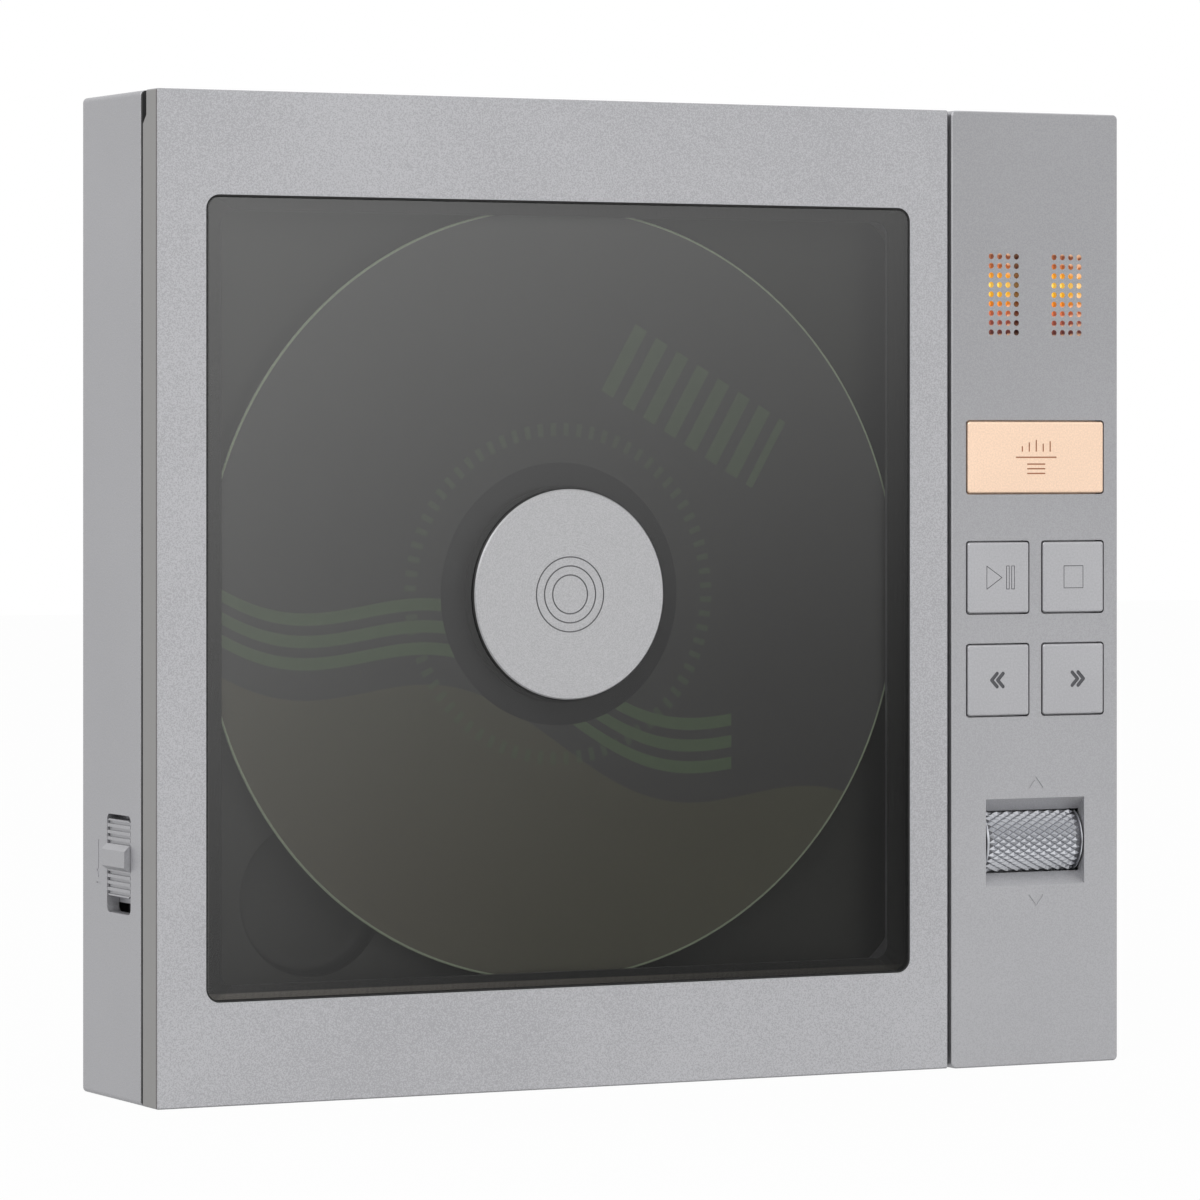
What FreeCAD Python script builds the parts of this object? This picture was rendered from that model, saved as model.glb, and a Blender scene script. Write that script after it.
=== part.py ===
import FreeCAD, Part
import math
import os

# A portable disc player with a tube output stage, standing on its bottom edge.
# It is drawn from its left, front, bottom corner: x to the right, y to the back, z up.
# Every piece is moved to the origin, the middle of the bottom face, when it is written.
# All sizes are millimetres.

# Case
wall = 2.0
rim_thickness = 1.5
corner_radius = 0.8
edge_chamfer = 0.2
parting_gap = 0.9
fit_gap = 0.15
touch_gap = 0.05

# Lid, and the strip of controls beside it
strip_width = 30.9
lid_left_rail = 8.0
lid_right_rail = 7.0
lid_end_rail = 15.75
lid_side_gap = 0.7
lid_floor_gap = 0.1
lid_thickness = 5.5
lid_corner_radius = 0.3
window_side_room = 0.7
window_end_room = 0.85
window_radius = 2.2
glass_thickness = 1.5
gasket_width = 0.28
gasket_back = 0.2
ledge_side = 3.15
ledge_end = 2.3
ledge_thickness = 0.8
lid_hollow_room = 1.7
lid_hollow_corner = 14.0
seal_thickness = 0.5
seal_margin = 0.05
seal_room = 0.3

# Centre cap and clamp
cap_radius = 16.5
cap_proud = 0.65
cap_chamfer = 0.4
cap_overhang = 1.15
cap_wall = 1.5
cap_skin = 1.1
cap_ring_radii = (3.0, 4.4, 5.8)
retainer_lip = 1.6
retainer_thickness = 0.6
clamp_flange = 0.65
clamp_wall = 2.6
clamp_magnet_hole = 4.0

# Disc and turntable
disc_radius = 60.0
disc_bore = 7.5
disc_thickness = 1.2
disc_gap = 0.5
hub_clearance = 0.1
hub_length = 2.25
turntable_radius = 14.6
turntable_thickness = 1.95
pad_thickness = 0.45
pad_inner_radius = 9.0
shaft_radius = 1.0
shaft_clearance = 0.04

# Disc tray
tray_left_margin = 7.0
tray_right_margin = 1.9
tray_end_margin = 12.6
tray_corner = 6.0
tray_thickness = 1.5
tray_flange = 1.5
tray_hole_room = 2.4
tray_slot_width = 19.0
scoop_radius = 12.0
scoop_depth = 3.5
scoop_fillet = 2.5
scoop_wall = 1.1
scoop_outside = 1.45
scoop_turn = 48.8
tray_tab = 5.5

# Mechanism
deck_thickness = 1.0
deck_gap = 2.1
deck_corner = 3.0
deck_left_reach = 24.0
deck_below_rods = 13.0
deck_above_rods = 25.0
damper_radius = 3.6
damper_height = 2.4
motor_radius = 10.5
motor_height = 7.5
rod_radius = 1.5
rod_spacing = 38.0
rod_setback = 2.7
rod_clearance = 0.05
clamp_block = 2.8
sled_length = 18.0
sled_thickness = 4.4
turret_half = 8.0
lens_start = 25.0
lens_end_margin = 2.0
lens_radius = 2.6
lens_travel = 0.4
rack_module = 0.5
pinion_teeth = 12
rack_width = 2.0
gear_module = 0.4
gear_teeth = 36
motor_teeth = 10
gear_width = 1.4
tooth_addendum = 0.65
tooth_dedendum = 1.0
tooth_play = 0.1
sled_motor_radius = 5.0
sled_motor_height = 5.0

# Controls on the strip, measured down from the top or up from the bottom
strip_wall = 2.0
button_margin = 2.8
button_gap = 2.6
button_height = 11.4
button_row_gap = 5.05
menu_height = 11.5
menu_to_buttons = 7.85
tube_to_menu = 10.15
button_radius = 0.6
button_proud = 0.3
button_clearance = 0.22
button_bevel = 0.35
button_travel = 0.35
button_lip = 0.6
button_lip_thickness = 0.8
button_stem_length = 1.55
button_stem_radius = 1.5
switch_height = 1.1
engraving = 0.1
engraving_line = 0.22
skip_line = 0.6
skip_shifts = {"previous_button": -0.25, "next_button": 0.8}
grille_columns = 4
grille_rows = 9
grille_pitch_x = 1.555
grille_pitch_z = 1.525
grille_hole = 0.94
grille_offset = 5.85
grille_drop = 29.3
grille_skin = 1.0
buttons_to_wheel = 20.4
wheel_radius = 5.8
wheel_margin = 6.55
wheel_proud = 0.2
wheel_gap = 0.26
wheel_pocket_height = 14.0
wheel_pocket_slope = 2.05
axle_radius = 1.5
wheel_bore_gap = 0.04
encoder_thickness = 2.6
bracket_ear = 1.2
chevron_offset = 9.5
chevron_size = 2.45
chevron_line = 0.36

# Open slider and latch on the left side
slider_height = 36.9
slider_length = 11.7
slider_width = 9.2
slider_setback = 2.65
slider_slot_top = 0.75
slider_slot_bottom = 2.55
slider_travel = 2.4
slider_tab = 1.0
slider_tab_height = 2.5
slider_rib_pitch = 1.0
slider_rib_depth = 0.4
catch_left = 3.9
catch_width = 1.2
catch_barb = 1.3
hook_overlap = 1.1
spring_radius = 1.0
spring_wire = 0.15
spring_pitch = 0.95

# Hinge along the top edge
hinge_setback = 2.5
knuckle_radius = 2.1
hinge_pin_radius = 0.8
hinge_clearance = 0.03
hinge_arm_width = 8.0
hinge_inset = 24.0
hinge_relief = 1.35
hinge_relief_room = 1.6
hinge_top_gap = 0.1
hinge_pin_reach = 12.0

# Rear cover, feet and screws
cover_thickness = 1.2
cover_recess = 0.1
cover_inset = 1.1
foot_radius = 5.0
foot_proud = 0.6
foot_inset = 18.0
screw_radius = 0.8
screw_head_radius = 1.5
screw_head_height = 0.8
cover_screw_length = 5.0
post_radius = 2.6

# Boards, tubes, battery and sockets
board_thickness = 1.2
lead_radius = 0.2
tube_radius = 3.5
tube_wall = 0.6
tube_length = 32.0
tube_gap = 0.2
tube_board_room = 1.9
battery_width = 100.0
battery_thickness = 8.0
battery_height = 54.0
battery_left = 12.0
battery_low = 9.0
battery_room = 2.0
board_room = 3.8
board_over_battery = 7.0
board_beside_battery = 6.0
board_top_margin = 9.7
shelf_width = 9.0
shelf_height = 6.0
shelf_depth = 2.4
shelf_drop = 8.9
shelf_over_bracket = 4.6
left_shelf_rise = 17.4
headphone_bore = 1.8
headphone_shoulder = 1.2
balanced_bore = 2.25
balanced_shoulder = 1.7
headphone_depth = 14.0
balanced_depth = 18.0
socket_recess = 0.1
shelf_to_usb = 1.4
usb_to_headphone = 13.5
headphone_to_balanced = 14.0
usb_shell_height = 3.2
usb_shell_width = 8.94
usb_depth = 8.5
usb_mouth_depth = 6.5
usb_tongue_width = 6.7
usb_tongue_thickness = 0.7

# Places that follow from the sizes above
window_width = 2 * (disc_radius + window_side_room)
window_height = 2 * (disc_radius + window_end_room)
lid_width = lid_left_rail + window_width + lid_right_rail
strip_left = lid_width + lid_side_gap
strip_middle = strip_left + strip_width / 2
width = strip_left + strip_width
height = window_height + 2 * lid_end_rail
disc_x = lid_left_rail + window_width / 2
disc_z = height / 2
body_front = lid_thickness + parting_gap
rim_back = body_front + rim_thickness
tray_front = body_front + fit_gap
tray_back = tray_front + tray_thickness
deck_front = tray_back + deck_gap
deck_back = deck_front + deck_thickness
cover_front = deck_back + motor_height + battery_room + battery_thickness
cover_back = cover_front + cover_thickness
depth = cover_back + cover_recess
disc_front = glass_thickness + gasket_back + ledge_thickness + disc_gap
cap_plug_radius = cap_radius - cap_overhang
rod_y = deck_back + rod_setback
sled_travel = disc_radius - lens_end_margin - lens_start
hinge_back = lid_thickness + hinge_setback
hinge_z = height - knuckle_radius - hinge_top_gap
button_width = (strip_width - 2 * button_margin - button_gap) / 2
button_shift = (button_width + button_gap) / 2
grille_z = height - grille_drop
menu_z = grille_z - tube_length / 2 - tube_to_menu
upper_row_z = menu_z - menu_height / 2 - menu_to_buttons - button_height / 2
lower_row_z = upper_row_z - button_height - button_row_gap
wheel_width = strip_width - 2 * wheel_margin
wheel_height = lower_row_z - button_height / 2 - buttons_to_wheel
wheel_y = wheel_radius - wheel_proud
button_stem = strip_wall + touch_gap + button_lip_thickness + button_stem_length
key_board_front = button_stem + button_travel + switch_height
key_board_back = key_board_front + board_thickness
tube_setback = strip_wall + tube_gap + tube_radius
tube_board_front = tube_setback + tube_radius + tube_board_room
main_board_back = cover_front - board_room
main_board_front = main_board_back - board_thickness
slider_front = rim_back + slider_setback


def point(x, y, z):
    return FreeCAD.Vector(x, y, z)


def box(x0, x1, y0, y1, z0, z1):
    return Part.makeBox(x1 - x0, y1 - y0, z1 - z0, point(x0, y0, z0))


def rod_x(y, z, radius, x0, x1):
    return Part.makeCylinder(radius, x1 - x0, point(x0, y, z), point(1, 0, 0))


def rod_through(x, z, radius, y0, y1):
    return Part.makeCylinder(radius, y1 - y0, point(x, y0, z), point(0, 1, 0))


def rod_z(x, y, radius, z0, z1):
    return Part.makeCylinder(radius, z1 - z0, point(x, y, z0), point(0, 0, 1))


def ring(x, z, outer, inner, y0, y1):
    """A flat ring facing the front."""
    return rod_through(x, z, outer, y0, y1).cut(rod_through(x, z, inner, y0 - 1, y1 + 1))


def plate(x0, x1, z0, z1, y0, y1, radius=0.0):
    """A plate facing the front, with its four corners rounded."""
    if radius <= 0:
        return box(x0, x1, y0, y1, z0, z1)
    corners = [(x1, z0, -1, 1), (x1, z1, -1, -1), (x0, z1, 1, -1), (x0, z0, 1, 1)]
    edges = []
    last = point(x0 + radius, y0, z0)
    half = radius * (1 - math.sqrt(0.5))
    for number, (x, z, to_x, to_z) in enumerate(corners):
        along_z = point(x, y0, z + to_z * radius)
        along_x = point(x + to_x * radius, y0, z)
        middle = point(x + to_x * half, y0, z + to_z * half)
        start, end = (along_x, along_z) if number % 2 == 0 else (along_z, along_x)
        edges.append(Part.LineSegment(last, start).toShape())
        edges.append(Part.Arc(start, middle, end).toShape())
        last = end
    return Part.Face(Part.Wire(edges)).extrude(point(0, y1 - y0, 0))


def side_plate(y0, y1, z0, z1, x0, x1, radius):
    """A plate facing the side, with its four corners rounded."""
    flat = plate(y0, y1, z0, z1, -x1, -x0, radius)
    flat.rotate(point(0, 0, 0), point(0, 0, 1), 90)
    return flat


def prism_x(outline, x0, x1):
    """An outline of (y, z) points drawn out along x."""
    points = [point(x0, y, z) for y, z in outline]
    return Part.Face(Part.makePolygon(points + points[:1])).extrude(point(x1 - x0, 0, 0))


def prism_y(outline, y0, y1):
    """An outline of (x, z) points drawn out along y."""
    points = [point(x, y0, z) for x, z in outline]
    return Part.Face(Part.makePolygon(points + points[:1])).extrude(point(0, y1 - y0, 0))


def turned(outline, x, z):
    """An outline of (radius, y) points turned about the line through x and z."""
    points = [point(x + radius, y, z) for radius, y in outline]
    face = Part.Face(Part.makePolygon(points + points[:1]))
    return face.revolve(point(x, 0, z), point(0, 1, 0), 360)


def joined(shapes):
    first, rest = shapes[0], shapes[1:]
    return first.multiFuse(rest).removeSplitter()


def without(shape, tools):
    return shape.cut(tools)


def edges_at_y(shape, y):
    """The edges of a shape that lie flat at one depth."""
    return [edge for edge in shape.Edges
            if abs(edge.BoundBox.YMin - y) < 1e-4 and abs(edge.BoundBox.YMax - y) < 1e-4]


def chamfer_at_y(shape, y, size):
    return shape.makeChamfer(size, edges_at_y(shape, y))


def strokes(lines, line_width, y0, y1):
    """Engraved lines, each a list of (x, z) points, as solids to cut away."""
    solids = []
    for line in lines:
        for (xa, za), (xb, zb) in zip(line, line[1:]):
            length = math.hypot(xb - xa, zb - za)
            across_x = -(zb - za) / length * line_width / 2
            across_z = (xb - xa) / length * line_width / 2
            outline = [(xa + across_x, za + across_z), (xb + across_x, zb + across_z),
                       (xb - across_x, zb - across_z), (xa - across_x, za - across_z)]
            solids.append(prism_y(outline, y0, y1))
        solids += [rod_through(x, z, line_width / 2, y0, y1) for x, z in line]
    return joined(solids)


def screw(x, y, z, length, axis):
    """A pan head screw whose head stands at a point, with its tip along an axis."""
    head = Part.makeCylinder(screw_head_radius, screw_head_height, point(x, y, z), axis)
    socket = Part.makeCylinder(screw_radius * 0.7, screw_head_height / 2, point(x, y, z), axis)
    shank = Part.makeCylinder(screw_radius, screw_head_height + length, point(x, y, z), axis)
    return head.fuse(shank).cut(socket).removeSplitter()


FRONTWARD = point(0, -1, 0)
LEFTWARD = point(-1, 0, 0)
hinge_places = [hinge_inset, lid_width - hinge_inset]
post_inset = wall + post_radius - 0.2
post_places = [(post_inset, post_inset), (width / 2, post_inset), (width - post_inset, post_inset),
               (post_inset, height - post_inset), (width / 2, height - post_inset),
               (width - post_inset, height - post_inset)]
tray_x0 = tray_left_margin
tray_x1 = strip_left - tray_right_margin
tray_z0 = tray_end_margin
tray_z1 = height - tray_end_margin
tray_tab_places = [(x, z) for z in (tray_z0, tray_z1) for x in (disc_x - 28.0, disc_x, disc_x + 28.0)]
bracket_tab = wheel_pocket_height / 2 + 0.4
bracket_half = bracket_tab + 4.4
board_low = battery_low + battery_height + board_over_battery
board_high = height - board_top_margin
low_shelf = wheel_height + bracket_half + shelf_over_bracket
high_shelf = board_high - shelf_height - shelf_drop
board_shelves = [(wall, board_low + left_shelf_rise), (wall, high_shelf),
                 (width - wall - shelf_width, high_shelf), (width - wall - shelf_width, low_shelf)]
usb_height = low_shelf + shelf_height + shelf_to_usb + usb_shell_width / 2
headphone_height = usb_height + usb_to_headphone
balanced_height = headphone_height + headphone_to_balanced
key_post_places = [(strip_middle, menu_z - menu_height / 2 - menu_to_buttons / 2),
                   (strip_middle, lower_row_z - button_height / 2 - 3.4)]
tube_post_reach = tube_length / 2 + 2.2
tube_post_places = [(strip_middle, grille_z - tube_post_reach), (strip_middle, grille_z + tube_post_reach)]
buffer_places = [(tray_left_margin / 2 + 0.8, 6.0), (lid_width - 4.0, 6.0)]
magnet_place = (lid_width - 12.0, 6.5)
bracket_left = strip_left + wall + fit_gap + encoder_thickness
bracket_right = width - wall - 1.2


def tray_tab_screw_z(z):
    """Where a tray tab's screw goes: outside the opening, half way along the tab."""
    return z + (tray_tab * 0.6 if z > disc_z else -tray_tab * 0.6)


# The case

def hinge_rails():
    """Thickened corners inside the top front edge, which the hinge pins pass through."""
    rails = []
    for middle in hinge_places:
        half = hinge_arm_width / 2 + 8.0
        low = hinge_z - knuckle_radius - 1.9
        rails.append(box(middle - half, middle + half, body_front, hinge_back + 3.0, low, height - 0.5))
    return rails


def hinge_cuts():
    cuts = []
    for middle in hinge_places:
        half = hinge_arm_width / 2 + 0.4
        low = hinge_z - knuckle_radius - 5.4
        cuts.append(box(middle - half, middle + half, body_front - 1, hinge_back + 2.6, low, height + 1))
        cuts.append(rod_x(hinge_back, hinge_z, hinge_pin_radius + hinge_clearance,
                          middle - hinge_pin_reach - 0.5, middle + hinge_pin_reach + 0.5))
    return cuts


def button_places():
    """Each button's name, middle and size."""
    left, right = strip_middle - button_shift, strip_middle + button_shift
    return {
        "menu_button": (strip_middle, menu_z, strip_width - 2 * button_margin, menu_height),
        "play_button": (left, upper_row_z, button_width, button_height),
        "stop_button": (right, upper_row_z, button_width, button_height),
        "previous_button": (left, lower_row_z, button_width, button_height),
        "next_button": (right, lower_row_z, button_width, button_height),
    }


def button_plate(place, grow, y0, y1, radius):
    x, z, wide, high = place
    return plate(x - wide / 2 - grow, x + wide / 2 + grow, z - high / 2 - grow, z + high / 2 + grow,
                 y0, y1, radius)


def grille_cuts():
    """Two fields of round holes, each over a thinned patch of the strip's wall."""
    cuts = []
    for middle in (strip_middle - grille_offset, strip_middle + grille_offset):
        half_x = grille_pitch_x * grille_columns / 2
        half_z = grille_pitch_z * grille_rows / 2
        cuts.append(plate(middle - half_x, middle + half_x, grille_z - half_z, grille_z + half_z,
                          grille_skin, strip_wall + 1, 0.8))
        for column in range(grille_columns):
            for row in range(grille_rows):
                x = middle + (column - (grille_columns - 1) / 2) * grille_pitch_x
                z = grille_z + (row - (grille_rows - 1) / 2) * grille_pitch_z
                cuts.append(rod_through(x, z, grille_hole / 2, -1, strip_wall + 0.5))
    return cuts


def wheel_pocket_cut():
    half = wheel_pocket_height / 2
    inner = half - wheel_pocket_slope
    outline = [(-1, half + 1), (wheel_pocket_slope, inner), (strip_wall + 1, inner),
               (strip_wall + 1, -inner), (wheel_pocket_slope, -inner), (-1, -half - 1)]
    outline = [(y, wheel_height + z) for y, z in outline]
    left = strip_middle - wheel_width / 2 - wheel_gap
    right = strip_middle + wheel_width / 2 + wheel_gap
    return prism_x(outline, left, right)


def chevrons():
    lines = []
    for side in (1, -1):
        z = wheel_height + side * chevron_offset
        rise = side * chevron_size * 0.32
        lines.append([(strip_middle - chevron_size / 2, z - rise), (strip_middle, z + rise),
                      (strip_middle + chevron_size / 2, z - rise)])
    return strokes(lines, chevron_line, -1, engraving)


def slider_slot():
    top = slider_height + slider_length / 2 + slider_slot_top
    bottom = slider_height - slider_length / 2 - slider_slot_bottom
    return side_plate(slider_front - fit_gap, slider_front + slider_width + fit_gap, bottom, top,
                      -1, wall + 1, 1.0)


def open_mark():
    """A small arrow that points the way the slider opens the lid, cut into the left side."""
    y = slider_front + slider_width + 3.6
    top, bottom = slider_height + 2.4, slider_height - 3.4
    shaft = box(-1, engraving, y - engraving_line / 2, y + engraving_line / 2, bottom, top)
    head = [(y - 0.8, bottom + 1.3), (y + 0.8, bottom + 1.3), (y, bottom)]
    bar = box(-1, engraving, y - 0.8, y + 0.8, bottom - 0.9, bottom - 0.9 + engraving_line)
    return [shaft, prism_x(head, -1, engraving), bar]


def catch_slot():
    z = slider_height
    return box(catch_left - 0.5, catch_left + catch_width + 0.5, body_front - 1, rim_back + 1,
               z - 3.3, z + 4.1)


def socket_holes():
    sockets = [(headphone_y, headphone_height, headphone_bore + headphone_shoulder),
               (balanced_y, balanced_height, balanced_bore + balanced_shoulder)]
    holes = [rod_x(y, z, radius + 0.05, width - wall - 1, width + 1) for y, z, radius in sockets]
    half_wide, half_high = usb_shell_width / 2 + 0.15, usb_shell_height / 2 + 0.15
    holes.append(side_plate(usb_y - half_high, usb_y + half_high, usb_height - half_wide,
                            usb_height + half_wide, width - wall - 1, width + 1, 1.6))
    return holes


headphone_y = main_board_front - headphone_bore - 2.0
balanced_y = main_board_front - balanced_bore - 2.1
usb_y = main_board_front - usb_shell_height / 2 - fit_gap


def main_housing():
    body = plate(0, width, 0, height, body_front, depth, corner_radius)
    body = chamfer_at_y(body, body_front, edge_chamfer)
    body = chamfer_at_y(body, depth, edge_chamfer)
    strip = plate(strip_left, width, 0, height, 0, body_front + 1, corner_radius)
    strip = chamfer_at_y(strip, 0, edge_chamfer)
    shell = body.fuse(strip)
    hollow = [
        plate(wall, width - wall, wall, height - wall, rim_back, depth + 1, corner_radius),
        plate(strip_left + wall, width - wall, wall, height - wall, strip_wall, rim_back + 1),
        plate(tray_x0, tray_x1, tray_z0, tray_z1, body_front - 1, rim_back + 1, tray_corner),
        plate(cover_inset, width - cover_inset, cover_inset, height - cover_inset,
              cover_front, depth + 1, corner_radius),
    ]
    shell = without(shell, hollow)
    posts = [rod_through(x, z, post_radius, cover_front - 9.0, cover_front) for x, z in post_places]
    shelves = [box(x, x + shelf_width, main_board_front - shelf_depth, main_board_front,
                   z, z + shelf_height) for x, z in board_shelves]
    key_posts = [rod_through(x, z, 1.55, strip_wall - 0.5, key_board_front) for x, z in key_post_places]
    key_posts += [rod_through(x, z, 1.5, strip_wall - 0.5, tube_board_front) for x, z in tube_post_places]
    shell = joined([shell] + hinge_rails() + posts + shelves + key_posts)
    hole = screw_radius + 0.05
    cuts = hinge_cuts() + grille_cuts() + open_mark() + socket_holes()
    cuts += [button_plate(place, button_clearance, -1, strip_wall + 1, button_radius)
             for place in button_places().values()]
    cuts += [wheel_pocket_cut(), chevrons(), slider_slot(), catch_slot()]
    cuts += [rod_through(x, z, hole, cover_front - 7.0, cover_front + 1) for x, z in post_places]
    cuts += [rod_through(x + shelf_width / 2, z + shelf_height / 2, hole, main_board_front - 3,
                         main_board_front + 1) for x, z in board_shelves]
    cuts += [rod_through(x, z, hole, key_board_front - 3.0, key_board_front + 1)
             for x, z in key_post_places]
    cuts += [rod_through(x, z, hole, tube_board_front - 3.0, tube_board_front + 1)
             for x, z in tube_post_places]
    cuts += [rod_through(x, tray_tab_screw_z(z), hole, rim_back - 1.2, rim_back + 1)
             for x, z in tray_tab_places]
    cuts += [rod_through(x, z, 1.45, body_front - 1, body_front + 0.7) for x, z in buffer_places]
    for side in (1, -1):
        z = wheel_height + side * (bracket_tab + 2.2)
        cuts += [rod_through(x, z, hole, strip_wall - 1.1, strip_wall + 1) for x in bracket_screw_places()]
    for z in latch_screw_places():
        cuts.append(rod_x(latch_screw_y(), z, hole, wall - 1.1, wall + 1))
    return without(shell, cuts)


def rear_cover():
    gap = 0.1
    cover = plate(cover_inset + gap, width - cover_inset - gap, cover_inset + gap,
                  height - cover_inset - gap, cover_front, cover_back, corner_radius - gap)
    cuts = []
    for x, z in post_places:
        cuts.append(rod_through(x, z, screw_radius + 0.1, cover_front - 1, cover_back + 1))
        cuts.append(rod_through(x, z, screw_head_radius + 0.1, cover_back - screw_head_height,
                                cover_back + 1))
    cuts += [rod_through(x, z, foot_radius, cover_back - 0.5, cover_back + 1) for x, z in foot_places()]
    return without(cover, cuts)


def rear_cover_screws():
    return [screw(x, cover_back, z, cover_screw_length, FRONTWARD) for x, z in post_places]


def foot_places():
    return [(x, z) for x in (foot_inset, width - foot_inset) for z in (foot_inset, height - foot_inset)]


def rubber_feet():
    feet = []
    for x, z in foot_places():
        back = cover_back + 0.1 + foot_proud
        foot = rod_through(x, z, foot_radius, cover_back - 0.5, back)
        feet.append(chamfer_at_y(foot, back, 0.3))
    return feet


def bracket_screw_places():
    return [strip_middle - 8.0, strip_middle + 8.0]


def latch_screw_places():
    return [slider_height - 19.1, slider_height + 11.3]


def latch_screw_y():
    return slider_front + slider_width / 2


def inner_screws():
    """The small screws inside: tray, deck, boards, wheel bracket and latch guide."""
    flange_back = rim_back + touch_gap + 1.0
    places = [(x, flange_back, tray_tab_screw_z(z), 2.1) for x, z in tray_tab_places]
    places += [(x, key_board_back, z, board_thickness + 2.5) for x, z in key_post_places]
    places += [(x, tube_board_front + board_thickness, z, board_thickness + 2.5) for x, z in tube_post_places]
    places += [(x + shelf_width / 2, main_board_back, z + shelf_height / 2, board_thickness + 2.0)
               for x, z in board_shelves]
    tab_back = strip_wall + touch_gap + 1.0
    for side in (1, -1):
        z = wheel_height + side * (bracket_tab + 2.2)
        places += [(x, tab_back, z, 1.9) for x in bracket_screw_places()]
    screws = []
    for x, y, z, length in places:
        screws.append(screw(x, y + screw_head_height, z, length, FRONTWARD))
    for z in latch_screw_places():
        x = wall + touch_gap + 1.2 + screw_head_height
        screws.append(screw(x, latch_screw_y(), z, 2.1, LEFTWARD))
    head = boss_back + damper_height + screw_head_height
    length = head - screw_head_height - tray_back - 0.3
    screws += [screw(x, head, z, length, FRONTWARD) for x, z in deck_mounts]
    return screws


def lid_buffers():
    return [rod_through(x, z, 1.4, body_front - parting_gap + touch_gap, body_front + 0.7)
            for x, z in buffer_places]


def lid_seal():
    """A thin foam sheet stuck to the housing behind the lid, round the tray's opening."""
    front, back = body_front - seal_thickness, body_front
    sheet = plate(seal_margin, lid_width - seal_margin, seal_margin, height - seal_margin, front, back,
                  corner_radius)
    opening = plate(tray_x0 - seal_room, tray_x1 + seal_room, tray_z0 - seal_room, tray_z1 + seal_room,
                    front - 1, back + 1, tray_corner)
    catch_hole = box(catch_left - 0.5 - seal_room, catch_left + catch_width + 0.5 + seal_room, front - 1,
                     back + 1, slider_height - 3.3 - seal_room, slider_height + 4.1 + seal_room)
    cuts = [opening, catch_hole]
    for middle in hinge_places:
        half = hinge_arm_width / 2 + 0.4 + seal_room
        cuts.append(box(middle - half, middle + half, front - 1, back + 1,
                        hinge_z - knuckle_radius - 5.4 - seal_room, height + 1))
    cuts += [rod_through(x, z, 1.45 + seal_room, front - 1, back + 1) for x, z in buffer_places]
    return without(sheet, cuts)


def hinge_pins():
    return [rod_x(hinge_back, hinge_z, hinge_pin_radius, middle - hinge_pin_reach, middle + hinge_pin_reach)
            for middle in hinge_places]


# The lid

def window_outline(shrink, y0, y1, radius):
    return plate(disc_x - window_width / 2 + shrink, disc_x + window_width / 2 - shrink,
                 disc_z - window_height / 2 + shrink, disc_z + window_height / 2 - shrink, y0, y1, radius)


def ledge_outline(y0, y1):
    return plate(disc_x - window_width / 2 + ledge_side, disc_x + window_width / 2 - ledge_side,
                 disc_z - window_height / 2 + ledge_end, disc_z + window_height / 2 - ledge_end,
                 y0, y1, window_radius)


def lid_frame():
    frame = plate(0, lid_width, lid_floor_gap, height, 0, lid_thickness, lid_corner_radius)
    frame = chamfer_at_y(frame, 0, edge_chamfer)
    pocket_back = glass_thickness + gasket_back
    relief_low = hinge_z - hinge_relief_room
    relief_front = lid_thickness - hinge_relief
    relief = [(relief_front, height + 1), (relief_front, relief_low),
              (lid_thickness + 0.1, relief_low - hinge_relief - 0.1), (lid_thickness + 0.1, height + 1)]
    hollow = disc_radius + lid_hollow_room
    cuts = [
        window_outline(0, -1, pocket_back, window_radius),
        ledge_outline(pocket_back - 0.5, pocket_back + ledge_thickness + 0.5),
        plate(disc_x - hollow, disc_x + hollow, disc_z - hollow, disc_z + hollow,
              pocket_back + ledge_thickness, lid_thickness + 1, lid_hollow_corner),
        prism_x(relief, -1, lid_width + 1),
        box(catch_left - 1.75, catch_left + 2.35, lid_thickness - 1.0, lid_thickness + 1,
            slider_height - 6.0, slider_height + 6.7),
        rod_through(magnet_place[0], magnet_place[1], 2.05, lid_thickness - 1.6, lid_thickness + 1),
    ]
    for middle in hinge_places:
        half = hinge_arm_width / 2 + 0.1
        cuts.append(box(middle - half, middle + half, lid_thickness - 1.0, lid_thickness + 1,
                        hinge_z - 11.1, height + 1))
    return without(frame, cuts)


def window_glass():
    glass = window_outline(gasket_width, 0, glass_thickness, window_radius - gasket_width)
    glass = chamfer_at_y(glass, 0, 0.15)
    return glass.cut(rod_through(disc_x, disc_z, cap_plug_radius + 0.15, -1, glass_thickness + 1))


def window_gasket():
    gasket = window_outline(0, 0.12, glass_thickness + gasket_back, window_radius)
    inside = window_outline(gasket_width, -1, glass_thickness, window_radius - gasket_width)
    return gasket.cut(inside).cut(ledge_outline(-1, glass_thickness + 1))


def centre_cap():
    inner = cap_plug_radius - cap_wall
    outline = [(0, -cap_proud), (cap_radius - cap_chamfer, -cap_proud), (cap_radius, cap_chamfer - cap_proud),
               (cap_radius, -0.02), (cap_plug_radius, -0.02), (cap_plug_radius, glass_thickness),
               (inner, glass_thickness), (inner, cap_skin - cap_proud), (0, cap_skin - cap_proud)]
    cap = turned(outline, disc_x, disc_z)
    grooves = [ring(disc_x, disc_z, radius + engraving_line / 2, radius - engraving_line / 2,
                    -cap_proud - 1, -cap_proud + engraving) for radius in cap_ring_radii]
    return without(cap, grooves)


retainer_front = glass_thickness + touch_gap
retainer_hole = cap_plug_radius - cap_wall - retainer_lip
rotor_flange_radius = cap_plug_radius - cap_wall - 0.5
rotor_nose_radius = retainer_hole - 0.4
rotor_front = cap_skin - cap_proud + 0.25


def clamp_retainer():
    return ring(disc_x, disc_z, cap_plug_radius + 1.5, retainer_hole, retainer_front,
                retainer_front + retainer_thickness)


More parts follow.
